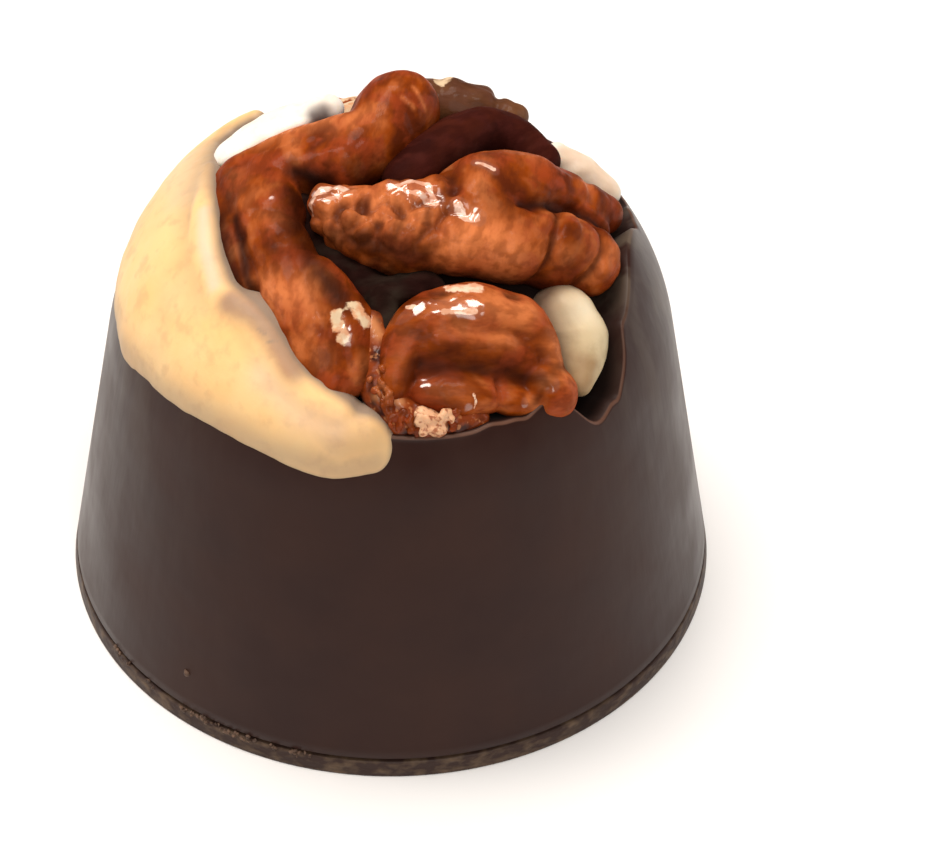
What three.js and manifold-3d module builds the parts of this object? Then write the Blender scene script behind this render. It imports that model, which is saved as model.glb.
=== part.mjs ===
// A pecan turtle candy: a tapered, round-shouldered cup of dark chocolate on a thin closing disc. Its crown is sunk
// inside a broken chocolate rim and carries glazed pecan halves, a pool of caramel and white chocolate, of which one
// broad band runs over the left shoulder.
// Millimetres, +Z up, -Y is the front. The origin is the middle of the disc's underside.

import * as THREE from "three";
import { mergeVertices } from "three/addons/utils/BufferGeometryUtils.js";
import Module from "manifold-3d";

const wasm = await Module();
wasm.setup();

// ---- Driving dimensions -------------------------------------------------------------------------------------------

const BASE_RADIUS = 20;
const TOP_RADIUS = 13.8; // where the straight wall would meet the level of the top
const MOULD_HEIGHT = 29.3;
const SHOULDER_RADIUS = 15;

const DISC_HEIGHT = 1;
const DISC_CHAMFER = 0.2;
const GAP = 0.3; // between neighbouring pieces

const RIM_HEIGHT = 22;
const RIM_WIDTH = 0.9;
const RIM_ROUNDING = 0.2;
const RECESS_DEPTH = 1.9; // of the moat just inside the rim, below the moulded shape
const MOAT_WIDTH = 1.2;
const CROWN_DEPTH = 2.4; // of the chocolate under the nuts, below the moulded shape

// Dips and rises of the rim: the direction in degrees from +X, the width in degrees and the change of height.
const RIM_WAVES = [
  { at: -76, width: 34, lift: -1.1 },
  { at: -44, width: 8, lift: -2.3 },
  { at: -8, width: 17, lift: 1.6 },
  { at: 62, width: 22, lift: 0.5 },
  { at: 128, width: 20, lift: -0.6 },
];

const SKIN_THICKNESS = 1.5; // of the white chocolate band
const SKIN_PROUD = 0.4; // how far the band stands out of the moulded shape

const WRINKLE = 0.05; // swelling and narrowing along a pecan lobe, as a share of its radius
const WRINKLE_LENGTH = 3.4;

// ---- Mesh fineness ------------------------------------------------------------------------------------------------

const BODY_SEGMENTS = 60;
const SHOULDER_STEPS = 3;
const CROWN_STEPS = 4;
const CAP_STEPS = 3;
const RING_SPACING = 1.2;
const LOBE_SIDES = 12;
const SKIN_SIDES = 16;
const CLAIM_SIDES = 8; // of the enlarged lobes that are cut out of their neighbours

// ---- The moulded shape --------------------------------------------------------------------------------------------

const RIGHT_ANGLE = Math.PI / 2;
const WALL_LEAN = Math.atan((BASE_RADIUS - TOP_RADIUS) / MOULD_HEIGHT);
const ARC_HEIGHT = MOULD_HEIGHT - SHOULDER_RADIUS;
const ARC_RADIUS =
  BASE_RADIUS - ARC_HEIGHT * Math.tan(WALL_LEAN) - SHOULDER_RADIUS / Math.cos(WALL_LEAN);
const TANGENT_HEIGHT = ARC_HEIGHT + SHOULDER_RADIUS * Math.sin(WALL_LEAN);

function wallRadius(height) {
  return BASE_RADIUS - height * Math.tan(WALL_LEAN);
}

// A point of the profile on the shoulder's arc: climb is 0 where the arc faces sideways and a right angle on top.
function shoulderPoint(climb, depth) {
  const reach = SHOULDER_RADIUS - depth;
  return new THREE.Vector2(ARC_RADIUS + reach * Math.cos(climb), ARC_HEIGHT + reach * Math.sin(climb));
}

// A point on or under the dome, found by the way to it over the dome from its top centre.
function domePoint(right, back, depth) {
  const distance = Math.hypot(right, back);
  const azimuth = Math.atan2(back, right);
  if (distance < ARC_RADIUS) return new THREE.Vector3(right, back, MOULD_HEIGHT - depth);
  const profile = shoulderPoint(RIGHT_ANGLE - (distance - ARC_RADIUS) / SHOULDER_RADIUS, depth);
  return new THREE.Vector3(profile.x * Math.cos(azimuth), profile.x * Math.sin(azimuth), profile.y);
}

// The direction that points straight out of the dome at a place near it.
function domeNormal(point) {
  const radius = Math.hypot(point.x, point.y);
  if (radius < ARC_RADIUS) return new THREE.Vector3(0, 0, 1);
  const sideways = (radius - ARC_RADIUS) / radius;
  return new THREE.Vector3(point.x * sideways, point.y * sideways, point.z - ARC_HEIGHT).normalize();
}

// The place at a height over the dome that is nearest to a point.
function overDome(point, lift) {
  const normal = domeNormal(point);
  const radius = Math.hypot(point.x, point.y);
  const onTop = radius < ARC_RADIUS;
  const middle = new THREE.Vector3(point.x, point.y, 0).multiplyScalar(onTop ? 1 : ARC_RADIUS / radius);
  middle.z = ARC_HEIGHT;
  return middle.addScaledVector(normal, SHOULDER_RADIUS + lift);
}

// ---- Solids -------------------------------------------------------------------------------------------------------

function solidOf(geometry) {
  geometry.deleteAttribute("normal");
  geometry.deleteAttribute("uv");
  const merged = mergeVertices(geometry);
  const corners = merged.index.array;
  const triVerts = [];
  for (let i = 0; i < corners.length; i += 3) {
    const [a, b, c] = corners.slice(i, i + 3);
    if (a !== b && b !== c && c !== a) triVerts.push(a, b, c);
  }
  const mesh = new wasm.Mesh({
    numProp: 3,
    vertProperties: new Float32Array(merged.attributes.position.array),
    triVerts: new Uint32Array(triVerts),
  });
  return new wasm.Manifold(mesh);
}

function joined(solids) {
  return solids.reduce((sum, solid) => sum.add(solid));
}

// The main piece of a cut solid, without the scraps that the cut leaves.
function mainPiece(solid) {
  return solid.decompose().reduce((best, piece) => (piece.volume() > best.volume() ? piece : best));
}

function meshOf(name, solid, material) {
  const { vertProperties, triVerts, numProp } = solid.getMesh();
  const geometry = new THREE.BufferGeometry();
  geometry.setAttribute("position", new THREE.BufferAttribute(vertProperties, numProp));
  geometry.setIndex(new THREE.BufferAttribute(triVerts, 1));
  geometry.computeVertexNormals();
  const mesh = new THREE.Mesh(geometry, material);
  mesh.name = name;
  return mesh;
}

// A turned solid whose profile may differ from one direction to the next.
function turned(profileAt, segments) {
  const rows = profileAt(0).length;
  const geometry = new THREE.LatheGeometry(profileAt(0), segments);
  const position = geometry.attributes.position;
  for (let i = 0; i <= segments; i++) {
    const azimuth = ((i % segments) / segments) * 2 * Math.PI - RIGHT_ANGLE;
    profileAt(azimuth).forEach((point, row) => {
      const x = point.x * Math.cos(azimuth);
      const y = point.x * Math.sin(azimuth);
      position.setXYZ(i * rows + row, x, y, point.y);
    });
  }
  return solidOf(geometry);
}

// The radius of a lobe a share of the way along its waypoints.
function radiusAlong(waypoints, share) {
  const place = share * (waypoints.length - 1);
  const before = Math.min(Math.floor(place), waypoints.length - 2);
  return THREE.MathUtils.lerp(waypoints[before][2], waypoints[before + 1][2], place - before);
}

// A rounded lobe that lies on the dome: a capsule whose axis is bent through waypoints. Each waypoint is
// [right, back, radius, rise]: the way to it over the dome from its top centre, the lobe's radius there and how far
// its back stands out of the moulded shape. A skin is a flat lobe that follows the dome across its width too.
// A claim is the same lobe with the gap round it, in fewer sides, which is what its neighbours leave free for it.
function lobe(waypoints, { claim = false, skin = false, wrinkle = 0 } = {}) {
  const halfSkin = SKIN_THICKNESS / 2;
  const sink = SKIN_PROUD - halfSkin;
  const axis = new THREE.CatmullRomCurve3(
    waypoints.map(([right, back, radius, rise = 0]) => domePoint(right, back, skin ? -sink : radius - rise)),
  );
  const axisLength = axis.getLength();
  const sides = claim ? CLAIM_SIDES : skin ? SKIN_SIDES : LOBE_SIDES;
  const rings = Math.ceil(axisLength / RING_SPACING / (claim ? 2 : 1));
  const enlarged = (size) => (claim ? (size + GAP) / Math.cos(Math.PI / CLAIM_SIDES) : size);
  const geometry = new THREE.CapsuleGeometry(1, 1, CAP_STEPS, sides, rings);
  const position = geometry.attributes.position;
  const vertex = new THREE.Vector3();
  for (let i = 0; i < position.count; i++) {
    vertex.fromBufferAttribute(position, i);
    const along = THREE.MathUtils.clamp(vertex.y, -0.5, 0.5);
    const share = along + 0.5;
    const wave = claim ? 1 : Math.sin((share * axisLength * 2 * Math.PI) / WRINKLE_LENGTH);
    const radius = enlarged(radiusAlong(waypoints, share) * (1 + wrinkle * wave));
    const place = axis.getPoint(share);
    const tangent = axis.getTangent(share);
    const across = tangent.clone().cross(domeNormal(place)).normalize();
    const outward = across.clone().cross(tangent);
    place.addScaledVector(across, vertex.x * radius);
    place.addScaledVector(tangent, (vertex.y - along) * radius);
    if (skin) place.copy(overDome(place, sink + vertex.z * enlarged(halfSkin)));
    else place.addScaledVector(outward, vertex.z * radius);
    position.setXYZ(i, place.x, place.y, place.z);
  }
  return solidOf(geometry);
}

// ---- Finishes -----------------------------------------------------------------------------------------------------

const darkChocolate = new THREE.MeshStandardMaterial({ color: 0x3a2824, roughness: 0.42, metalness: 0 });
const discChocolate = new THREE.MeshStandardMaterial({ color: 0x3c2e28, roughness: 0.5, metalness: 0 });
const whiteChocolate = new THREE.MeshStandardMaterial({ color: 0xf6d49c, roughness: 0.45, metalness: 0 });
const glazedPecan = new THREE.MeshStandardMaterial({ color: 0x9c4f22, roughness: 0.25, metalness: 0 });
const darkPecan = new THREE.MeshStandardMaterial({ color: 0x3e190a, roughness: 0.28, metalness: 0 });
const caramelGloss = new THREE.MeshStandardMaterial({ color: 0x7d3f15, roughness: 0.18, metalness: 0 });

// ---- Toppings: each function gives the lobes of one piece, or the claims of those lobes ------------------------------

function pecanTop(claim) {
  const nut = { claim, wrinkle: WRINKLE };
  const back = [
    [-2.5, -0.2, 1.8, 0.2],
    [-0.9, 2.3, 2.3, 0.9],
    [0.5, 4.8, 2.5, 1.7],
  ];
  const arm = [
    [-9.8, 0.8, 1.6],
    [-7.4, 1.4, 1.6],
    [-4.9, 1.9, 1.7],
    [-2.4, 2.4, 1.8, 0.4],
  ];
  return [lobe(back, nut), lobe(arm, nut)];
}

function pecanLeft(claim) {
  const nut = { claim, wrinkle: WRINKLE };
  const ridge = [
    [-8.2, -1.6, 1.9],
    [-7.0, -5.8, 2.1],
    [-5.7, -9.6, 2.2],
    [-4.5, -13.1, 2.2],
    [-3.4, -15.1, 1.8],
  ];
  const flank = [
    [-10.4, -0.6, 1.1, -0.2],
    [-9.7, -4.3, 1.1, -0.2],
    [-8.6, -8.1, 1.0, -0.2],
  ];
  return [lobe(ridge, nut), lobe(flank, nut)];
}

function pecanRight(claim) {
  const nut = { claim, wrinkle: WRINKLE };
  const upper = [
    [3.1, -1.9, 2.0],
    [5.7, -0.5, 2.1, 0.3],
    [8.6, 0.4, 1.9, 0.3],
    [12.0, 1.3, 1.4, 0.1],
    [14.8, 2.8, 1.0, 0.2],
  ];
  const lower = [
    [2.9, -6.5, 1.8],
    [6.1, -6.1, 2.0],
    [9.6, -4.8, 2.1],
    [12.9, -3.4, 2.0, 0.3],
    [15.0, -1.8, 1.6, 0.3],
  ];
  const crinkle = [
    [-3.7, -4.1, 1.4, -0.2],
    [-1.6, -5.0, 2.1, -0.1],
    [1.1, -5.2, 2.4],
    [3.3, -4.5, 2.4, 0.1],
  ];
  return [lobe(upper, nut), lobe(lower, nut), lobe(crinkle, nut)];
}

function pecanFront(claim) {
  const nut = { claim, wrinkle: WRINKLE };
  const arch = [
    [0.1, -15.6, 1.1],
    [0.7, -13.1, 1.4],
    [2.4, -11.6, 1.7],
    [5.3, -10.8, 1.9, 0.1],
    [8.3, -10.7, 1.7],
    [10.1, -12.2, 1.2],
    [11.0, -13.5, 0.9],
  ];
  const sill = [
    [1.4, -16.5, 1.1, -0.1],
    [4.2, -16.0, 1.25],
    [7.2, -15.3, 1.2],
    [9.8, -15.0, 1.1],
    [11.2, -14.1, 1.0, 0.1],
  ];
  const groove = [
    [1.3, -14.5, 1.3, -0.8],
    [5.7, -13.6, 1.5, -0.8],
    [10.1, -13.0, 1.3, -0.8],
  ];
  return [lobe(arch, nut), lobe(sill, nut), lobe(groove, nut)];
}

function pecanDark(claim) {
  const arch = [
    [0.8, -0.8, 1.4, -0.7],
    [3.0, 2.5, 1.7, -0.5],
    [5.7, 5.4, 1.7, 0.1],
    [8.4, 6.2, 1.7, 0.3],
    [10.4, 4.9, 1.3, -0.2],
  ];
  return [lobe(arch, { claim })];
}

function pecanBack(claim) {
  const nut = { claim, wrinkle: WRINKLE };
  const ridge = [
    [1.8, 9.0, 1.5, 0.2],
    [4.2, 8.6, 1.8, 0.5],
    [6.4, 8.0, 1.4, 0.2],
    [7.8, 7.5, 1.0, 0.1],
  ];
  const rearRidge = [
    [1.4, 12.2, 1.4, -0.2],
    [4.2, 12.4, 2.0, -0.1],
    [7.2, 11.2, 1.7, -0.3],
  ];
  return [lobe(ridge, nut), lobe(rearRidge, nut)];
}

function pecanRear(claim) {
  const nut = { claim, wrinkle: WRINKLE };
  const ridge = [
    [-7.2, 11.2, 1.4, -0.2],
    [-5.4, 13.0, 2.0],
    [-2.6, 14.8, 1.8],
    [0.2, 15.6, 1.1],
  ];
  const inner = [
    [-6.0, 8.9, 1.2, -0.5],
    [-3.4, 10.6, 1.7, -0.3],
    [-0.8, 12.0, 1.3, -0.4],
  ];
  return [lobe(ridge, nut), lobe(inner, nut)];
}

function creamRight(claim) {
  const drop = [
    [13.2, -6.8, 1.9, -0.4],
    [13.2, -9.8, 1.6, -0.4],
    [13.6, -12.3, 1.0, -0.4],
  ];
  return [lobe(drop, { claim })];
}

function creamBackRight(claim) {
  const smear = [
    [10.6, 7.0, 1.0, 0.1],
    [12.8, 6.4, 1.2, 0.4],
    [15.2, 6.0, 0.9, 0.4],
  ];
  return [lobe(smear, { claim })];
}

function creamBackLeft(claim) {
  const smear = [
    [-9.5, 4.2, 1.5, 0.3],
    [-7.0, 4.9, 1.8, 0.6],
    [-4.3, 5.9, 1.6, 0.5],
  ];
  return [lobe(smear, { claim })];
}

function creamBand(claim) {
  const band = [
    [-1.6, -18.3, 1.7],
    [-4.1, -18.1, 2.0],
    [-7.1, -16.4, 2.5],
    [-9.9, -13.6, 3.4],
    [-13.0, -9.6, 4.3],
    [-15.2, -5.4, 5.1],
    [-15.7, -0.2, 5.4],
    [-14.7, 4.4, 4.6],
    [-12.6, 7.8, 3.0],
    [-10.2, 8.7, 1.5],
    [-8.6, 8.0, 0.8],
  ];
  return [lobe(band, { claim, skin: true })];
}

function caramelPool(claim) {
  const pool = [
    [-2.2, -11.2, 1.1, -0.3],
    [-1.7, -13.1, 1.3, -0.1],
    [-1.0, -15.5, 1.4, -0.1],
    [0.7, -17.2, 1.5],
    [3.1, -17.4, 1.3],
    [5.6, -16.9, 1.0],
  ];
  return [lobe(pool, { claim })];
}

// Laid from the top down: each piece gives way to those before it in the list, and the chocolate to them all.
const TOPPINGS = [
  { name: "pecan_top", lobes: pecanTop, finish: glazedPecan },
  { name: "pecan_right", lobes: pecanRight, finish: glazedPecan },
  { name: "pecan_front", lobes: pecanFront, finish: glazedPecan },
  { name: "caramel", lobes: caramelPool, finish: caramelGloss },
  { name: "pecan_left", lobes: pecanLeft, finish: glazedPecan },
  { name: "pecan_dark", lobes: pecanDark, finish: darkPecan },
  { name: "pecan_back", lobes: pecanBack, finish: glazedPecan },
  { name: "pecan_rear", lobes: pecanRear, finish: glazedPecan },
  { name: "cream_right", lobes: creamRight, finish: whiteChocolate },
  { name: "cream_back_right", lobes: creamBackRight, finish: whiteChocolate },
  { name: "cream_back_left", lobes: creamBackLeft, finish: whiteChocolate },
  { name: "cream_band", lobes: creamBand, finish: whiteChocolate },
];

// ---- Chocolate ------------------------------------------------------------------------------------------------------

function closingDisc() {
  const profile = [
    new THREE.Vector2(0, 0),
    new THREE.Vector2(BASE_RADIUS - DISC_CHAMFER, 0),
    new THREE.Vector2(wallRadius(DISC_CHAMFER), DISC_CHAMFER),
    new THREE.Vector2(wallRadius(DISC_HEIGHT), DISC_HEIGHT),
    new THREE.Vector2(0, DISC_HEIGHT),
  ];
  return turned(() => profile, BODY_SEGMENTS);
}

function rimHeight(azimuth) {
  const degrees = THREE.MathUtils.radToDeg(azimuth);
  return RIM_WAVES.reduce((height, { at, width, lift }) => {
    const away = THREE.MathUtils.euclideanModulo(degrees - at + 180, 360) - 180;
    return height + lift * Math.exp(-((away / width) ** 2));
  }, RIM_HEIGHT);
}

// The cup's profile in one direction: underside, wall, shoulder, rim, the moat inside it and the crown.
function cupProfile(azimuth) {
  const foot = DISC_HEIGHT + GAP;
  const rimClimb = Math.asin((rimHeight(azimuth) - ARC_HEIGHT) / SHOULDER_RADIUS);
  const innerClimb = rimClimb + RIM_WIDTH / SHOULDER_RADIUS;
  const moatClimb = innerClimb + MOAT_WIDTH / SHOULDER_RADIUS;
  const profile = [
    new THREE.Vector2(0, foot),
    new THREE.Vector2(wallRadius(foot), foot),
    new THREE.Vector2(wallRadius(TANGENT_HEIGHT), TANGENT_HEIGHT),
  ];
  for (let i = 1; i <= SHOULDER_STEPS; i++) {
    profile.push(shoulderPoint(THREE.MathUtils.lerp(WALL_LEAN, rimClimb, i / SHOULDER_STEPS), 0));
  }
  profile.push(shoulderPoint(innerClimb, RIM_ROUNDING));
  profile.push(shoulderPoint(innerClimb, RECESS_DEPTH));
  profile.push(shoulderPoint(moatClimb, RECESS_DEPTH));
  for (let i = 1; i <= CROWN_STEPS; i++) {
    profile.push(shoulderPoint(THREE.MathUtils.lerp(moatClimb, RIGHT_ANGLE, i / CROWN_STEPS), CROWN_DEPTH));
  }
  profile.push(new THREE.Vector2(0, MOULD_HEIGHT - CROWN_DEPTH));
  return profile;
}

// ---- Assembly -------------------------------------------------------------------------------------------------------

const candy = new THREE.Group();
let claimed;
for (const { name, lobes, finish } of TOPPINGS) {
  const whole = joined(lobes(false));
  candy.add(meshOf(name, claimed ? mainPiece(whole.subtract(claimed)) : whole, finish));
  const claim = joined(lobes(true));
  claimed = claimed ? claimed.add(claim) : claim;
}
const cup = mainPiece(turned(cupProfile, BODY_SEGMENTS).subtract(claimed));
candy.add(meshOf("chocolate_cup", cup, darkChocolate));
candy.add(meshOf("closing_disc", closingDisc(), discChocolate));

export default candy;
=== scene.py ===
"""A pecan turtle candy: a moulded cup of dark chocolate whose sunk crown carries nuts, caramel and cream.

The toppings are modelled flat on the bench, in millimetres: right and back over the dome from its top
centre, and up from the moulded shape. Each is then laid over the dome, which gives its places in metres.
"""

import logging
import math
from dataclasses import dataclass
from enum import Enum

import bmesh
import bpy
import numpy as np
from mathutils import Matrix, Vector


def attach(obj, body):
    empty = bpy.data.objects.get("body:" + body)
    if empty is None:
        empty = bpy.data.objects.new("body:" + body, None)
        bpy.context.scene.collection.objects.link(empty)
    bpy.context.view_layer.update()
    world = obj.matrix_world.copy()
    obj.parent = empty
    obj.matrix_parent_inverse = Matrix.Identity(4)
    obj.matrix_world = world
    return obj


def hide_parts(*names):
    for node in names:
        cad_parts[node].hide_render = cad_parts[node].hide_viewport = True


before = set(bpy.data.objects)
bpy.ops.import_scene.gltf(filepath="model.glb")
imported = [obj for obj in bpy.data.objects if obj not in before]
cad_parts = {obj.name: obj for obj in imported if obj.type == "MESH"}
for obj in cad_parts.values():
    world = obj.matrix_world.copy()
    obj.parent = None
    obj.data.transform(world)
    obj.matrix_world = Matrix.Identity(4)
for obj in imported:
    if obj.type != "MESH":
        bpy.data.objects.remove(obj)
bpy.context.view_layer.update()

log = logging.getLogger("candy")

METRE = 0.001  # metres in a millimetre
BODY = "root"
RIGHT_ANGLE = math.pi / 2

Spot = tuple[float, float]  # right and back, over the dome
Knot = tuple[float, ...]  # right, back, radius and, where it isn't 0, the height of its top over the mould
Profile = tuple[float, float]  # the radius and the height of a point of the cup
Colour = tuple[float, float, float]  # as a screen shows it, 0 to 255


# ---- The moulded shape ----


@dataclass(frozen=True)
class Mould:
    """The shape that the cup was cast in: a leaning wall with a dome over it, in millimetres."""

    base_radius: float = 20.0
    top_radius: float = 13.8  # where the wall would meet the level of the top
    height: float = 29.3
    shoulder_radius: float = 15.0

    @property
    def lean(self) -> float:
        """The wall's angle to the upright, in radians."""
        return math.atan((self.base_radius - self.top_radius) / self.height)

    @property
    def arc_height(self) -> float:
        """The height of the middle of the shoulder's arc."""
        return self.height - self.shoulder_radius

    @property
    def arc_radius(self) -> float:
        """How far the middle of the shoulder's arc is from the axis."""
        return self.wall_radius(self.arc_height) - self.shoulder_radius / math.cos(self.lean)

    @property
    def tangent_height(self) -> float:
        """The height at which the wall turns into the shoulder."""
        return self.arc_height + self.shoulder_radius * math.sin(self.lean)

    def wall_radius(self, height: float) -> float:
        """Gives the wall's radius at a height."""
        return self.base_radius - height * math.tan(self.lean)

    def climb_at(self, height: float) -> float:
        """Gives how far up its arc the shoulder is at a height: 0 faces sideways, a right angle faces up."""
        return math.asin((height - self.arc_height) / self.shoulder_radius)

    def shoulder_point(self, climb: float, depth: float) -> Profile:
        """Gives the radius and height of a point a depth under the shoulder, a climb up its arc."""
        reach = self.shoulder_radius - depth
        return self.arc_radius + reach * math.cos(climb), self.arc_height + reach * math.sin(climb)

    def lay(self, flat: np.ndarray) -> np.ndarray:
        """Lays points that were modelled flat over the dome.

        Args:
            flat: A row of right, back and up for each point.

        Returns:
            A row of x, y and z for each point, in millimetres.
        """
        away = np.maximum(np.hypot(flat[:, 0], flat[:, 1]), 1e-9)
        fall = np.maximum(away - self.arc_radius, 0.0) / self.shoulder_radius
        reach = self.shoulder_radius + flat[:, 2]
        radius = np.where(away < self.arc_radius, away, self.arc_radius + reach * np.sin(fall))
        heights = self.arc_height + reach * np.cos(fall)
        return np.column_stack((flat[:, 0] / away * radius, flat[:, 1] / away * radius, heights))


MOULD = Mould()


# ---- The bench: steps that every piece goes through ----


def new_piece(name: str) -> bpy.types.Object:
    """Names the mesh that was just added, and opens it for modelling by its faces.

    Args:
        name: The piece's name.

    Returns:
        The object, active and in edit mode.
    """
    piece = bpy.context.object
    piece.name = piece.data.name = name
    bpy.ops.object.mode_set(mode="EDIT")
    bpy.ops.mesh.select_mode(type="FACE")
    return piece


def modify(piece: bpy.types.Object, kind: str, **settings: object) -> None:
    """Adds a modifier, sets it and applies it.

    Args:
        piece: The active object.
        kind: The modifier's type.
        **settings: Its settings by name.
    """
    bpy.ops.object.modifier_add(type=kind)
    modifier = piece.modifiers[-1]
    for name, value in settings.items():
        setattr(modifier, name, value)
    bpy.ops.object.modifier_apply(modifier=modifier.name)


def points_of(piece: bpy.types.Object) -> np.ndarray:
    """Gives the places of a mesh's points.

    Args:
        piece: The mesh.

    Returns:
        A row for each point.
    """
    places = np.empty(len(piece.data.vertices) * 3)
    piece.data.vertices.foreach_get("co", places)
    return places.reshape(-1, 3)


def move_points(piece: bpy.types.Object, places: np.ndarray) -> None:
    """Moves a mesh's points to the places given, a row each."""
    piece.data.vertices.foreach_set("co", places.ravel())
    piece.data.update()


def normals_of(piece: bpy.types.Object) -> np.ndarray:
    """Gives the directions in which a mesh's points face.

    Args:
        piece: The mesh.

    Returns:
        A row for each point.
    """
    facing = np.empty(len(piece.data.vertices) * 3)
    piece.data.vertex_normals.foreach_get("vector", facing)
    return facing.reshape(-1, 3)


def evened(piece: bpy.types.Object, values: np.ndarray, rounds: int) -> np.ndarray:
    """Spreads values over a mesh, each point taking the mean of its neighbours.

    Args:
        piece: The mesh.
        values: A row for each point.
        rounds: How often it is done.

    Returns:
        The values after it.
    """
    edges = np.empty(len(piece.data.edges) * 2, dtype=np.int64)
    piece.data.edges.foreach_get("vertices", edges)
    first, second = edges.reshape(-1, 2).T
    count = len(piece.data.vertices)
    neighbours = np.maximum(np.bincount(edges, minlength=count), 1)
    columns = values.reshape(count, -1).T.copy()
    for _ in range(rounds):
        sums = [
            np.bincount(first, column[second], count) + np.bincount(second, column[first], count)
            for column in columns
        ]
        columns = np.array(sums) / neighbours
    return columns.T.reshape(values.shape)


def hollowness(piece: bpy.types.Object, rounds: int) -> np.ndarray:
    """Gives how far each point lies in a hollow, in millimetres, looking wider with more rounds."""
    places = points_of(piece)
    return ((evened(piece, places, rounds) - places) * normals_of(piece)).sum(axis=1)


def keep_values(piece: bpy.types.Object, name: str, values: np.ndarray) -> None:
    """Keeps a number for each point of a mesh as an attribute that its finish reads."""
    attribute = piece.data.attributes.new(name, "FLOAT", "POINT")
    attribute.data.foreach_set("value", values.astype(np.float32))


def finished(piece: bpy.types.Object, material: bpy.types.Material, slot: str, *nodes: str) -> None:
    """Gives a piece its finish and its place in the frame.

    Args:
        piece: The piece, in metres.
        material: Its finish.
        slot: Not used.
        *nodes: The nodes that it stands for.
    """
    bpy.ops.object.shade_smooth()
    piece.data.materials.append(material)
    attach(piece, BODY)
    if nodes:
        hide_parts(*nodes)
    log.info("%s: %d faces", piece.name, len(piece.data.polygons))


# ---- Nodes of the finishes ----


def linear(colour: Colour) -> tuple[float, float, float, float]:
    """Gives a screen's colour as the shaders count it."""
    shares = [channel / 255 for channel in colour]
    return (*(s / 12.92 if s <= 0.04045 else ((s + 0.055) / 1.055) ** 2.4 for s in shares), 1.0)


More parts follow.
